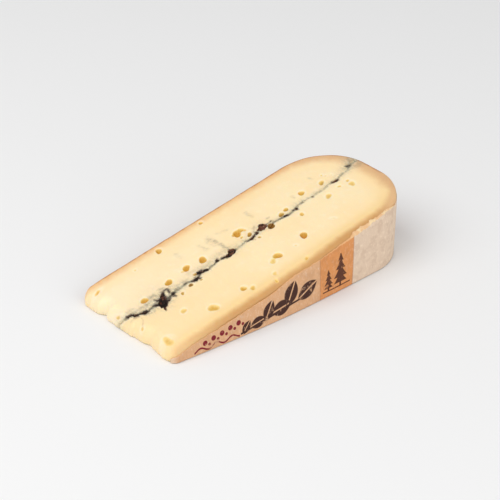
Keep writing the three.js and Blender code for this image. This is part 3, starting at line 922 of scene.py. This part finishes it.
def label_points(offset):
    """A grid over the label's wall, some distance outside it."""
    out_low, out_high = outward(low_path), outward(high_path)
    grid = np.zeros((len(along), LABEL_ROWS, 3))
    for row in range(LABEL_ROWS):
        z = LABEL_FOOT + (heads - LABEL_FOOT) * row / (LABEL_ROWS - 1)
        t = np.clip((z - FLOOR_EDGE) / (ridge - FLOOR_EDGE), 0, 1)[:, None]
        place = low_path * (1 - t) + high_path * t
        past = np.clip((z - ridge) / edge_drop(high_path[:, 0]), 0, 1)
        lean = EDGE_WIDTH["label"] * (1 - np.sqrt(1 - past**2))
        pinch = offset * row**8 / (LABEL_ROWS - 1) ** 8
        out = offset + several_waves(PAPER_WAVES, along, z) - lean - PINCH * pinch
        place = place + (out_low * (1 - t) + out_high * t) * out[:, None]
        grid[:, row] = np.column_stack([place, z])
    return grid


inner = label_points(GLUE_GAP)
outer = label_points(GLUE_GAP + PAPER)
columns = len(along)
print("label:", columns, "columns of", LABEL_ROWS, "points")

# %% Its two faces and the rim between them
label_faces = []
for c in range(columns - 1):
    for r in range(LABEL_ROWS - 1):
        a = c * LABEL_ROWS + r
        b = a + LABEL_ROWS
        label_faces.append((a, b, b + 1, a + 1))
back = columns * LABEL_ROWS
label_faces += [tuple(back + k for k in face[::-1]) for face in label_faces]
for c in range(columns - 1):
    for r, turned in ((0, False), (LABEL_ROWS - 1, True)):
        a, b = c * LABEL_ROWS + r, (c + 1) * LABEL_ROWS + r
        rim = (a, back + a, back + b, b)
        label_faces.append(rim[::-1] if turned else rim)
for r in range(LABEL_ROWS - 1):
    for c, turned in ((0, True), (columns - 1, False)):
        a = c * LABEL_ROWS + r
        rim = (a, back + a, back + a + 1, a + 1)
        label_faces.append(rim[::-1] if turned else rim)
print("label:", len(label_faces), "faces")

# %% The label as a piece
paper_points = np.concatenate([outer.reshape(-1, 3), inner.reshape(-1, 3)])
both = lambda values: np.concatenate([values.ravel(), values.ravel()])
paper_measures = {
    "along": both(np.repeat(along[:, None] + PRINT_START, LABEL_ROWS, 1)),
    "up": both(outer[:, :, 2]),
    "bare": both(through(BARE, along)[:, None] - heads[:, None] + outer[:, :, 2]),
}
label = add_piece("label", paper_points, label_faces, paper_measures)
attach(label, "root")
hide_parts("paper_label")
print("measured on the label:", list(paper_measures))

# %% [markdown]
# ## Finishes as expressions
# A finish is easier to read as arithmetic than as boxes and wires. The small class below wraps one
# socket; adding or multiplying two of them adds the Math node that does so. Colours are mixed by
# their own nodes, because a Math node would turn them grey.


# %% Screen colours
def linear(red, green, blue):
    """A screen colour from 0 to 255 as the linear colour that the shader works with."""
    channel = lambda v: v / 12.92 if v <= 0.04045 else ((v + 0.055) / 1.055) ** 2.4
    return (*(channel(v / 255) for v in (red, green, blue)), 1.0)


print("a screen grey of 128 is", round(linear(128, 128, 128)[0], 3), "in the shader")


# %% A socket in sums
class Wire:
    """A socket that can be used in sums and comparisons."""

    def __init__(self, finish, socket):
        self.finish, self.socket = finish, socket

    def math(self, operation, *others):
        return self.finish.maths(operation, self, *others)

    def __add__(self, other):
        return self.math("ADD", other)

    def __sub__(self, other):
        return self.math("SUBTRACT", other)

    def __rsub__(self, other):
        return self.finish.maths("SUBTRACT", other, self)

    def __mul__(self, other):
        return self.math("MULTIPLY", other)

    def __truediv__(self, other):
        return self.math("DIVIDE", other)

    def __abs__(self):
        return self.math("ABSOLUTE")

    def below(self, other):
        return self.math("MINIMUM", other)

    def above(self, other):
        return self.math("MAXIMUM", other)

    def ramp(self, low, high):
        """0 at low, 1 at high, with soft ends. High may be the smaller one."""
        settings = {"interpolation_type": "SMOOTHSTEP"}
        values = {"Value": self, "From Min": min(low, high), "From Max": max(low, high)}
        if low > high:
            values.update({"To Min": 1.0, "To Max": 0.0})
        return self.finish.node("ShaderNodeMapRange", settings, values)

    __radd__ = __add__
    __rmul__ = __mul__


# %% A finish and the one method that adds any node
class Finish:
    """A material that starts empty and grows by expressions."""

    def __init__(self, name):
        self.material = bpy.data.materials.new(name)
        self.material.use_nodes = True
        self.tree = self.material.node_tree
        self.tree.nodes.clear()
        self.place = self.node("ShaderNodeTexCoord", output="Object")

    def node(self, kind, settings=None, values=None, output=0):
        """Adds a node: its settings first, then the numbers or links of its sockets."""
        made = self.tree.nodes.new(kind)
        for key, value in (settings or {}).items():
            setattr(made, key, value)
        for key, value in (values or {}).items():
            if isinstance(value, Wire):
                self.tree.links.new(value.socket, made.inputs[key])
            else:
                made.inputs[key].default_value = value
        return Wire(self, made.outputs[output])

    def maths(self, operation, *terms):
        return self.node("ShaderNodeMath", {"operation": operation}, dict(enumerate(terms)))

    def measured(self, name):
        """One of the numbers that were stored at the vertices."""
        return self.node("ShaderNodeAttribute", {"attribute_name": name}, output="Fac")

    def noise(self, length, detail=2.0, roughness=0.5, stretch=None):
        """Noise with features about length mm wide, around 0.5."""
        place = self.place
        if stretch:
            scale = {"Vector": place, "Scale": stretch}
            place = self.node("ShaderNodeMapping", None, scale)
        sockets = {"Vector": place, "Scale": 1 / (length * MM)}
        sockets.update({"Detail": detail, "Roughness": roughness})
        return self.node("ShaderNodeTexNoise", None, sockets)

    def mix(self, share, start, end):
        """A colour between two others."""
        sockets = {0: share, 6: start, 7: end}
        return self.node("ShaderNodeMix", {"data_type": "RGBA"}, sockets, output=2)

    def mix_vectors(self, share, start, end):
        """A vector between two others."""
        sockets = {0: share, 4: start, 5: end}
        return self.node("ShaderNodeMix", {"data_type": "VECTOR"}, sockets, output=1)

    def bump(self, height, distance, strength=1.0, under=None):
        """A surface direction from a height; distance is in mm."""
        sockets = {"Height": height, "Distance": distance * MM, "Strength": strength}
        if under:
            sockets["Normal"] = under
        return self.node("ShaderNodeBump", None, sockets)

    def surface(self, **sockets):
        """The shader itself, from its sockets' names."""
        named = {key.replace("_", " "): value for key, value in sockets.items()}
        shader = self.node("ShaderNodeBsdfPrincipled", None, named)
        output = self.tree.nodes.new("ShaderNodeOutputMaterial")
        self.tree.links.new(shader.socket, output.inputs["Surface"])
        return self.material


# %% [markdown]
# ## The paste
# The paste is a warm cream, with a painted highlight towards the tip on the far half, and tanned
# towards the rind. Light enters it and comes out again nearby, so it gets subsurface scattering.
# Inside the eyes the skin of the old bubble is golden, darkening deeper down as painted shade, and
# the walls of the open caves are dusted with ash, nearly black.

# %% Colours of the paste
CREAM = linear(255, 230, 184)
PALE_CREAM = linear(255, 239, 210)
WARM_CREAM = linear(255, 222, 168)
# GOLDEN_CREAM and TAN go on the rounded edge above the label: partly the rind's tan, partly
# painted shade
GOLDEN_CREAM = linear(242, 206, 138)
TAN = linear(196, 140, 80)
PEACH = linear(230, 174, 110)
HEEL_TAN = linear(220, 174, 126)
CRUST = linear(186, 118, 70)
CRUST_DARK = linear(150, 92, 56)
CRUST_PALE = linear(210, 156, 108)
SKIN_PALE = linear(247, 213, 138)
# GOLD and DEEP_GOLD also paint shade that deepens towards the bottom of the eyes
GOLD = linear(221, 176, 82)
DEEP_GOLD = linear(206, 142, 24)
SOOTY_GOLD = linear(124, 80, 24)
ASH_GREY = linear(180, 174, 144)
ASH_PALE = linear(238, 230, 202)
ASH_VEIN = linear(128, 122, 104)
LINE_PALE = linear(158, 150, 126)
LINE_DARK = linear(74, 66, 58)
BLOT_BLACK = linear(50, 36, 31)
BLOT_BROWN = linear(92, 56, 42)
CAVE_DARK = linear(40, 28, 22)
CAVE_BROWN = linear(112, 66, 46)
SCATTER = (1.0, 0.62, 0.3)  # how far red, green and blue light spread inside, against each other
print("cream in the shader:", np.round(CREAM, 2).tolist())

# %% [markdown]
# The marks of the ash run over both halves and over the ash strip between them. One function adds
# them to any finish, with the same noises in the same places, so they don't stop at a seam.


# %% What the ash leaves on the cut
def ash_over(finish, colour):
    """A colour with haze, veins, smears, the thin line and its black blots laid over it."""
    haze, smear, line, blot, soot = (
        finish.measured(name) for name in ("haze", "smear", "line", "blot", "soot")
    )
    fine = finish.noise(0.7, 3, 0.7)
    marbling = finish.noise(2.6, 4, 0.6, stretch=(1.0, 0.6, 1.0))
    cloud = finish.noise(1.8, 4, 0.65).ramp(0.4, 0.62)
    dark_vein, pale_vein = (
        (1 - abs(marbling - at) * 12).above(0.0) * haze for at in (0.5, 0.57)
    )
    colour = finish.mix(haze * (cloud * 0.55 + 0.25), colour, ASH_GREY)
    colour = finish.mix(pale_vein * 0.6, colour, ASH_PALE)
    veins = dark_vein * 0.6 + smear * (cloud * 0.5 + fine.ramp(0.2, 0.65) * 0.3 + 0.2)
    colour = finish.mix(veins.below(0.85), colour, ASH_VEIN)
    ragged = (fine - 0.5) * 1.2 + (marbling - 0.5) * 2.4
    line_colour = finish.mix(soot, LINE_PALE, LINE_DARK)
    kept = (finish.noise(4.0, 2).ramp(0.42, 0.58) * 0.3 + soot * 0.9 + 0.15).below(1.0)
    patchy = fine.ramp(0.3, 0.6) * 0.4 + 0.6
    colour = finish.mix((line + ragged).ramp(0.7, -0.3) * kept * patchy, colour, line_colour)
    colour = finish.mix((blot + ragged).ramp(0.9, 0.1) * 0.55, colour, LINE_DARK)
    blot_colour = finish.mix(finish.noise(1.3, 2).ramp(0.46, 0.64), BLOT_BLACK, BLOT_BROWN)
    return finish.mix((blot + ragged).ramp(0.25, -0.25), colour, blot_colour)


# %% [markdown]
# Now the paste itself, from the inside of the body to its rind.

# %% What was measured on the paste
paste = Finish("morbier_paste")
depth, rind, papered = (paste.measured(name) for name in ("depth", "rind", "papered"))
eye, opening, aside = (paste.measured(name) for name in ("eye", "opening", "aside"))
tanning = paste.measured("tanning")
x_place = paste.node("ShaderNodeSeparateXYZ", None, {"Vector": paste.place}, output="X") * 1000
print("measured on the paste:", [a.name for a in far_half.data.attributes if a.domain == "POINT"])

# %% From the middle of the paste to the rind
broad = paste.noise(22, 2)
curd = paste.noise(3.2, 3, 0.6)
fine = paste.noise(0.7, 3, 0.7)
colour = paste.mix(broad.ramp(0.35, 0.65) * 0.5, CREAM, WARM_CREAM)
colour = paste.mix(curd.ramp(0.5, 0.72) * 0.25, colour, PALE_CREAM)
# painted highlight: the far half is lighter towards the tip
colour = paste.mix(x_place.ramp(-8, -60) * aside.ramp(-3, 3) * 0.35, colour, PALE_CREAM)
colour = paste.mix(x_place.ramp(5, -35) * aside.ramp(0, -4) * 0.5, colour, WARM_CREAM)
print("nodes so far:", len(paste.tree.nodes))

# %% The border above the label, tan with painted shade of its rounding, and the tan at the rind
wobble = (curd - 0.5) * 2.4 + (broad - 0.5) * 0.8
near_heel = x_place.ramp(30, 60)
corner = x_place.ramp(42, 56)
raised = x_place.ramp(0, 25) * (1 - corner)  # the label's torn edge stands higher here
above_label = papered + wobble * 0.5 - raised * 1.3 - corner * 1.5
weaker_at_tip = x_place.ramp(-66, -30) * 0.5 + 0.5
# painted shade: the rounded edge above the label turns golden, then tan, partly the rind's own tan
# and partly shade of the rounding
colour = paste.mix(above_label.ramp(14.0, 5.0) * 0.6, colour, WARM_CREAM)
colour = paste.mix(above_label.ramp(8.5, 3.0) * weaker_at_tip * 0.6, colour, GOLDEN_CREAM)
tan_and_painted_shade = paste.mix(corner, TAN, HEEL_TAN)
at_label = above_label.ramp(3.8, 0.4) * weaker_at_tip * 0.85
colour = paste.mix(at_label, colour, tan_and_painted_shade)
tanned = paste.mix(near_heel, PEACH, HEEL_TAN)
tan_width = 7.2 + near_heel * 1.8
warmed = (tan_width + 7.0 - tanning - wobble).ramp(0.0, 8.0) * (1 - at_label) * 0.5
colour = paste.mix(warmed, colour, WARM_CREAM)
colour = paste.mix((tan_width - tanning - wobble).ramp(0.0, 6.2) * 0.88, colour, tanned)
print("nodes so far:", len(paste.tree.nodes))

# %% The rind itself, mottled and a little greyish in places
mottle = paste.noise(3.0, 5, 0.72)
crust = paste.mix(mottle.ramp(0.34, 0.68), CRUST, CRUST_PALE)
crust = paste.mix(paste.noise(12, 3).ramp(0.45, 0.65) * 0.3, crust, CRUST_DARK)
crust = paste.mix(fine.ramp(0.5, 0.8) * 0.45, crust, CRUST_DARK)
at_rind = (rind + (curd - 0.5) * 1.6).ramp(2.8, 1.3)
colour = paste.mix(at_rind, colour, crust)
print("nodes so far:", len(paste.tree.nodes))

# %% Eyes: a painted highlight round the rim, a golden skin that darkens towards the bottom, partly painted shade
outside_rim = paste.measured("outside_rim")
# painted highlight: a pale ring at the rim of each eye on the cut
painted_rim_highlight = outside_rim.ramp(1.0, 0.1) * depth.ramp(0.3, 0.1) * papered.ramp(3, 9)
colour = paste.mix(painted_rim_highlight * 0.45, colour, PALE_CREAM)
in_eye = depth.ramp(0.04, 0.3) * eye.ramp(0.25, 0.0)
# the golden skin darkens with depth: partly painted shade
golden = paste.mix((depth + (fine - 0.5) * 0.35).ramp(0.18, 0.7), SKIN_PALE, GOLD)
golden = paste.mix((depth + (curd - 0.5) * 0.8).ramp(0.6, 1.3), golden, DEEP_GOLD)
golden = paste.mix(abs(aside).ramp(4.6, 1.0) * depth.ramp(0.1, 0.5) * 0.85, golden, SOOTY_GOLD)
colour = paste.mix(in_eye, colour, golden)
# painted highlight: a pale strip beside the ash line on the label side
painted_highlight_beside_line = aside.ramp(-0.5, -1.0) * aside.ramp(-2.6, -1.2)
colour = paste.mix(painted_highlight_beside_line * (1 - at_rind) * 0.25, colour, PALE_CREAM)
colour = paste.mix(in_eye * depth.ramp(0.15, 0.5), ash_over(paste, colour), golden)
print("nodes so far:", len(paste.tree.nodes))

# %% The walls of the open caves
toward_heel = x_place.ramp(-22, 5) * 0.2
cave = paste.mix((paste.noise(1.4, 3) + toward_heel).ramp(0.48, 0.68), CAVE_DARK, CAVE_BROWN)
sooty = (opening + (fine - 0.5) * 0.7).ramp(0.32, 0.0) * depth.ramp(0.05, 0.4)
inner_wall = depth.ramp(0.9, 1.5) * abs(aside).ramp(2.0, 0.9) * eye.ramp(0.0, 0.3)
dusted = sooty.above(inner_wall)
colour = paste.mix(dusted, colour, cave)
print("nodes so far:", len(paste.tree.nodes))

# %% The paste's surface
grain = paste.noise(0.55, 3, 0.6)
relief = paste.bump(fine * 0.5 + curd, 0.16, 0.45)
rough_rind = paste.bump(mottle + fine * 0.6, 0.5, 0.6, under=relief)
relief = paste.mix_vectors(at_rind, relief, rough_rind)
paste_material = paste.surface(
    Base_Color=colour,
    Roughness=0.46 + at_rind * 0.3 + dusted * 0.3 + (grain - 0.5) * 0.2,
    Normal=relief,
    Subsurface_Weight=0.22,
    Subsurface_Radius=SCATTER,
    Subsurface_Scale=2.2 * MM,
    Specular_IOR_Level=0.32,
)
for half in (label_half, far_half):
    half.data.materials.append(paste_material)
print("paste:", len(paste.tree.nodes), "nodes")

# %% [markdown]
# ## The ash
# Vegetable ash is a matt, dark powder. Where it is flush with the cut, the knife wiped curd over
# it, so there it takes the same marks as the cheese over a dusty cream. Deeper down, in the
# caves, it is dark.

# %% The ash's finish
WIPED_CURD = linear(226, 210, 170)
POWDER_BLACK = linear(34, 28, 25)
POWDER_GREY = linear(66, 54, 46)
POWDER_BROWN = linear(100, 70, 50)

ash = Finish("vegetable_ash")
flecks = ash.noise(0.9, 4, 0.7)
lumps = ash.noise(2.2, 3, 0.6)
wiped = ash.mix(ash.measured("line").ramp(-0.4, -0.05), WIPED_CURD, CREAM)
wiped = ash_over(ash, wiped)
powder = ash.mix(flecks.ramp(0.45, 0.6), POWDER_BLACK, POWDER_GREY)
powder = ash.mix(lumps.ramp(0.55, 0.72) * 0.6, powder, POWDER_BROWN)
ash_depth = ash.measured("depth")
ash_colour = ash.mix(ash_depth.ramp(0.25, 0.7), wiped, powder)
print("nodes so far:", len(ash.tree.nodes))

# %% The ash's surface
in_hollow = ash.measured("eye").ramp(0.3, 0.1) * ash_depth.ramp(0.1, 0.3)
ash_colour = ash.mix(in_hollow, ash_colour, SOOTY_GOLD)
ash_material = ash.surface(
    Base_Color=ash_colour,
    Roughness=0.85 + (flecks - 0.5) * 0.3,
    Normal=ash.bump(flecks + lumps, 0.25, 0.6),
    Subsurface_Weight=0.15,
    Subsurface_Radius=SCATTER,
    Subsurface_Scale=1.2 * MM,
    Specular_IOR_Level=0.2,
)
ash_sheet.data.materials.append(ash_material)
print("ash:", len(ash.tree.nodes), "nodes")

# %% [markdown]
# ## The printed paper
# Kraft paper shows its fibres. On it the printer laid a pinkish ground, an orange band and a pale
# field, and on those a few plain motifs in dark ink: a leafy sprig, a wavy line with berries and
# two firs. Every motif is a formula of how far along and how high a point is, so its edges stay
# crisp at any size.

# %% Colours of the paper and its inks
PINK_KRAFT = linear(216, 168, 126)
ORANGE_BAND = linear(216, 146, 88)
PALE_PAPER = linear(220, 196, 172)
FIBRE = linear(240, 220, 196)
TORN_PLY = linear(242, 214, 164)
PEACH_PLY = linear(232, 184, 132)
TAN_PLY = linear(226, 172, 120)
BROWN_INK = linear(68, 40, 32)
BAND_INK = linear(92, 54, 38)
RED_INK = linear(126, 32, 42)
DARK_KRAFT = linear(150, 104, 76)
RULE_BROWN = linear(150, 92, 58)
BAND_START, BAND_END = 9.9, 28.9  # mm along the print
print("orange in the shader:", np.round(ORANGE_BAND, 2).tolist())

# %% The label's grounds
paper = Finish("printed_kraft_paper")
along_print, up_print, bare = (paper.measured(name) for name in ("along", "up", "bare"))
fibres = paper.noise(0.9, 4, 0.7, stretch=(1.0, 1.0, 0.5))
patches = paper.noise(3.5, 3, 0.6)
edge_wobble = (paper.noise(0.6, 2) - 0.5) * 0.5
in_band = (along_print + edge_wobble).ramp(BAND_START - 0.2, BAND_START + 0.2)
past_band = (along_print + edge_wobble).ramp(BAND_END - 0.2, BAND_END + 0.2)
ground = paper.mix(in_band, PINK_KRAFT, ORANGE_BAND)
ground = paper.mix(past_band, ground, PALE_PAPER)
flecked = 0.4 - in_band * 0.22 + past_band * 0.47
ground = paper.mix(fibres.ramp(0.5, 0.7) * flecked, ground, FIBRE)
# darker kraft in random patches
ground = paper.mix(patches.ramp(0.55, 0.35) * 0.16, ground, DARK_KRAFT)
ground = paper.mix(along_print.ramp(-63.0, -66.5) * 0.55, ground, FIBRE)  # the tip's end is worn
print("nodes so far:", len(paper.tree.nodes))


# %% Motifs
def leaf(centre, turn, length, width):
    """A pointed leaf with a pale vein: above 0 inside."""
    step = (along_print - centre[0], up_print - centre[1])
    lengthwise, sideways = along_and_aside(*step, turn)
    lengthwise, sideways = lengthwise / (length / 2), abs(sideways) / (width / 2)
    return (1 - lengthwise * lengthwise - sideways).below((sideways - 0.09) * 4)


def stroke(height, half):
    """A thin line at a height that may vary along the label."""
    return half - abs(up_print - height)


def dot(centre, radius):
    """A round dot."""
    dx, dz = along_print - centre[0], up_print - centre[1]
    return (radius * radius - (dx * dx + dz * dz)) / radius


def fir(foot, height, half):
    """A fir in four tiers, each a triangle whose sides narrow upwards, on a short trunk."""
    away = abs(along_print - foot[0])
    share = (up_print - foot[1]) / height
    tier = (share * 4).math("FRACT")
    spread = half * (1.12 - share) * (1 - tier * 0.55)
    tree = (spread - away).below((share - 0.08) * height).below((0.98 - share) * height)
    trunk = (0.5 - away).below((share + 0.06) * height).below((0.2 - share) * height)
    return tree.above(trunk)


# %% A leafy sprig that grows along with the wedge
SPRIG = [
    (-30, 3.5, 52, 6.6), (-24, 3.6, 10, 8.4), (-18.2, 6.5, 62, 9.6), (-11.5, 5.4, 8, 11),
    (-6.2, 9.8, 66, 11.6), (2.6, 8.2, 26, 12),
]
stem = 1.6 + (along_print + 33) * 0.13
ink = stroke(stem, 0.45).below(along_print + 33).below(2.5 - along_print)
for x, z, turn, length in SPRIG:
    ink = ink.above(leaf((x, z), math.radians(turn), length, 0.6 * length))
print("leaves:", len(SPRIG))

# %% Two firs on the orange band
FIRS = [((21.5, 3.4), 15.0, 4.4), ((14.6, 3.4), 9.4, 2.9)]
for foot, height, half in FIRS:
    ink = ink.above(fir(foot, height, half))
in_trees = (along_print - 11.4).below(27.4 - along_print)
ink = ink.above(stroke(2.9, 0.28).below(in_trees))
print("firs:", len(FIRS))

# %% Berries on a wavy line
BERRIES = [(-50.6, 4.2), (-46.4, 5.0), (-42.2, 5.6), (-38, 6.4), (-33.8, 7.0)]
red = stroke(1.9 + (along_print * 0.8).math("SINE") * 0.8, 0.42)
red = red.below(along_print + 56).below(-33.5 - along_print)
for x, z in BERRIES:
    red = red.above(dot((x, z), 1.15)).above(dot((x + 2.1, z - 1.1), 0.7))
print("pairs of berries:", len(BERRIES))

# %% Ink on paper, with worn specks, and the torn edge
worn = patches.ramp(0.25, 0.45) * fibres.ramp(0.78, 0.6)
brown = paper.mix(in_band, BROWN_INK, BAND_INK)
printed = paper.mix(ink.ramp(-0.08, 0.08) * worn, ground, brown)
printed = paper.mix(red.ramp(-0.08, 0.08) * worn, printed, RED_INK)
band_lines = abs(abs(along_print - (BAND_START + BAND_END) / 2) - (BAND_END - BAND_START) / 2)
printed = paper.mix(band_lines.ramp(0.5, 0.1) * 0.3, printed, RULE_BROWN)
raised_edge = along_print.ramp(18, 30)
ply = paper.mix(patches.ramp(0.42, 0.58) * raised_edge, TAN_PLY, PEACH_PLY)
ply = paper.mix(patches.ramp(0.58, 0.42) * raised_edge, ply, TORN_PLY)
printed = paper.mix((bare + edge_wobble * 1.6).ramp(0.0, 0.3) * 0.85, printed, ply)
paper_material = paper.surface(
    Base_Color=printed,
    Roughness=0.78 + (fibres - 0.5) * 0.3,
    Normal=paper.bump(fibres + patches, 0.25, 0.5),
    Specular_IOR_Level=0.25,
)
label.data.materials.append(paper_material)
print("paper:", len(paper.tree.nodes), "nodes")

# %% [markdown]
# ## Floor, light and camera
# The photograph was taken against white, with soft light from everywhere and a little more from
# the upper left. A large pale floor, a bright world and two wide lamps give the same. The camera
# stands far off, about 31 degrees above the horizon, and looks over the tip and the label side.

# %% The floor
FLOOR_REACH = 3.0  # m to each side
FLOOR_COLOUR = linear(240, 240, 240)
floor_mesh = bpy.data.meshes.new("floor")
signs = ((-1, -1), (1, -1), (1, 1), (-1, 1))
floor_corners = [(a * FLOOR_REACH, b * FLOOR_REACH, 0) for a, b in signs]
floor_mesh.from_pydata(floor_corners, [], [(0, 1, 2, 3)])
floor = bpy.data.objects.new("floor", floor_mesh)
bpy.context.scene.collection.objects.link(floor)
floor_finish = Finish("pale_floor")
floor_mesh.materials.append(floor_finish.surface(Base_Color=FLOOR_COLOUR, Roughness=0.9))
print("floor:", 2 * FLOOR_REACH, "m wide")


# %% Lamps and world
def lamp(name, azimuth, elevation, distance, size, power):
    """A square lamp that looks at the middle of the wedge."""
    az, el = math.radians(azimuth), math.radians(elevation)
    back = np.array([math.sin(az) * math.cos(el), -math.cos(az) * math.cos(el), math.sin(el)])
    data = bpy.data.lights.new(name, "AREA")
    data.size, data.energy = size, power
    made = bpy.data.objects.new(name, data)
    made.location = back * distance
    made.rotation_euler = Vector(-back).to_track_quat("-Z", "Y").to_euler()
    bpy.context.scene.collection.objects.link(made)


lamp("window", -95, 55, 1.1, 0.9, 5.9)
lamp("fill", 5, 18, 1.2, 1.0, 5.1)
world = bpy.data.worlds.new("studio")
world.use_nodes = True
world.node_tree.nodes["Background"].inputs["Color"].default_value = (1, 1, 1, 1)
world.node_tree.nodes["Background"].inputs["Strength"].default_value = 0.585
bpy.context.scene.world = world
bpy.context.scene.view_settings.view_transform = "Standard"
print("lamps:", list(bpy.data.lights.keys()))

# %% The camera
TARGET = Vector((-3.91, -2.39, 16.92)) * MM
CAMERA_AZIMUTH, CAMERA_ELEVATION = math.radians(-39.54), math.radians(31.27)
CAMERA_DISTANCE = 0.7
side_on = Vector((math.cos(CAMERA_AZIMUTH), math.sin(CAMERA_AZIMUTH), 0))
level, rise = math.cos(CAMERA_ELEVATION), math.sin(CAMERA_ELEVATION)
back_to_camera = Vector(
    (math.sin(CAMERA_AZIMUTH) * level, -math.cos(CAMERA_AZIMUTH) * level, rise)
)
camera_up = back_to_camera.cross(side_on)
camera_data = bpy.data.cameras.new("camera")
camera_data.lens = 120.0
camera_data.sensor_width = 36.0
camera = bpy.data.objects.new("camera", camera_data)
turned = Matrix((side_on, camera_up, back_to_camera)).transposed().to_4x4()
camera.matrix_world = Matrix.Translation(TARGET + back_to_camera * CAMERA_DISTANCE) @ turned
bpy.context.scene.collection.objects.link(camera)
bpy.context.scene.camera = camera
print("camera:", CAMERA_DISTANCE, "m away, lens of", camera_data.lens, "mm")
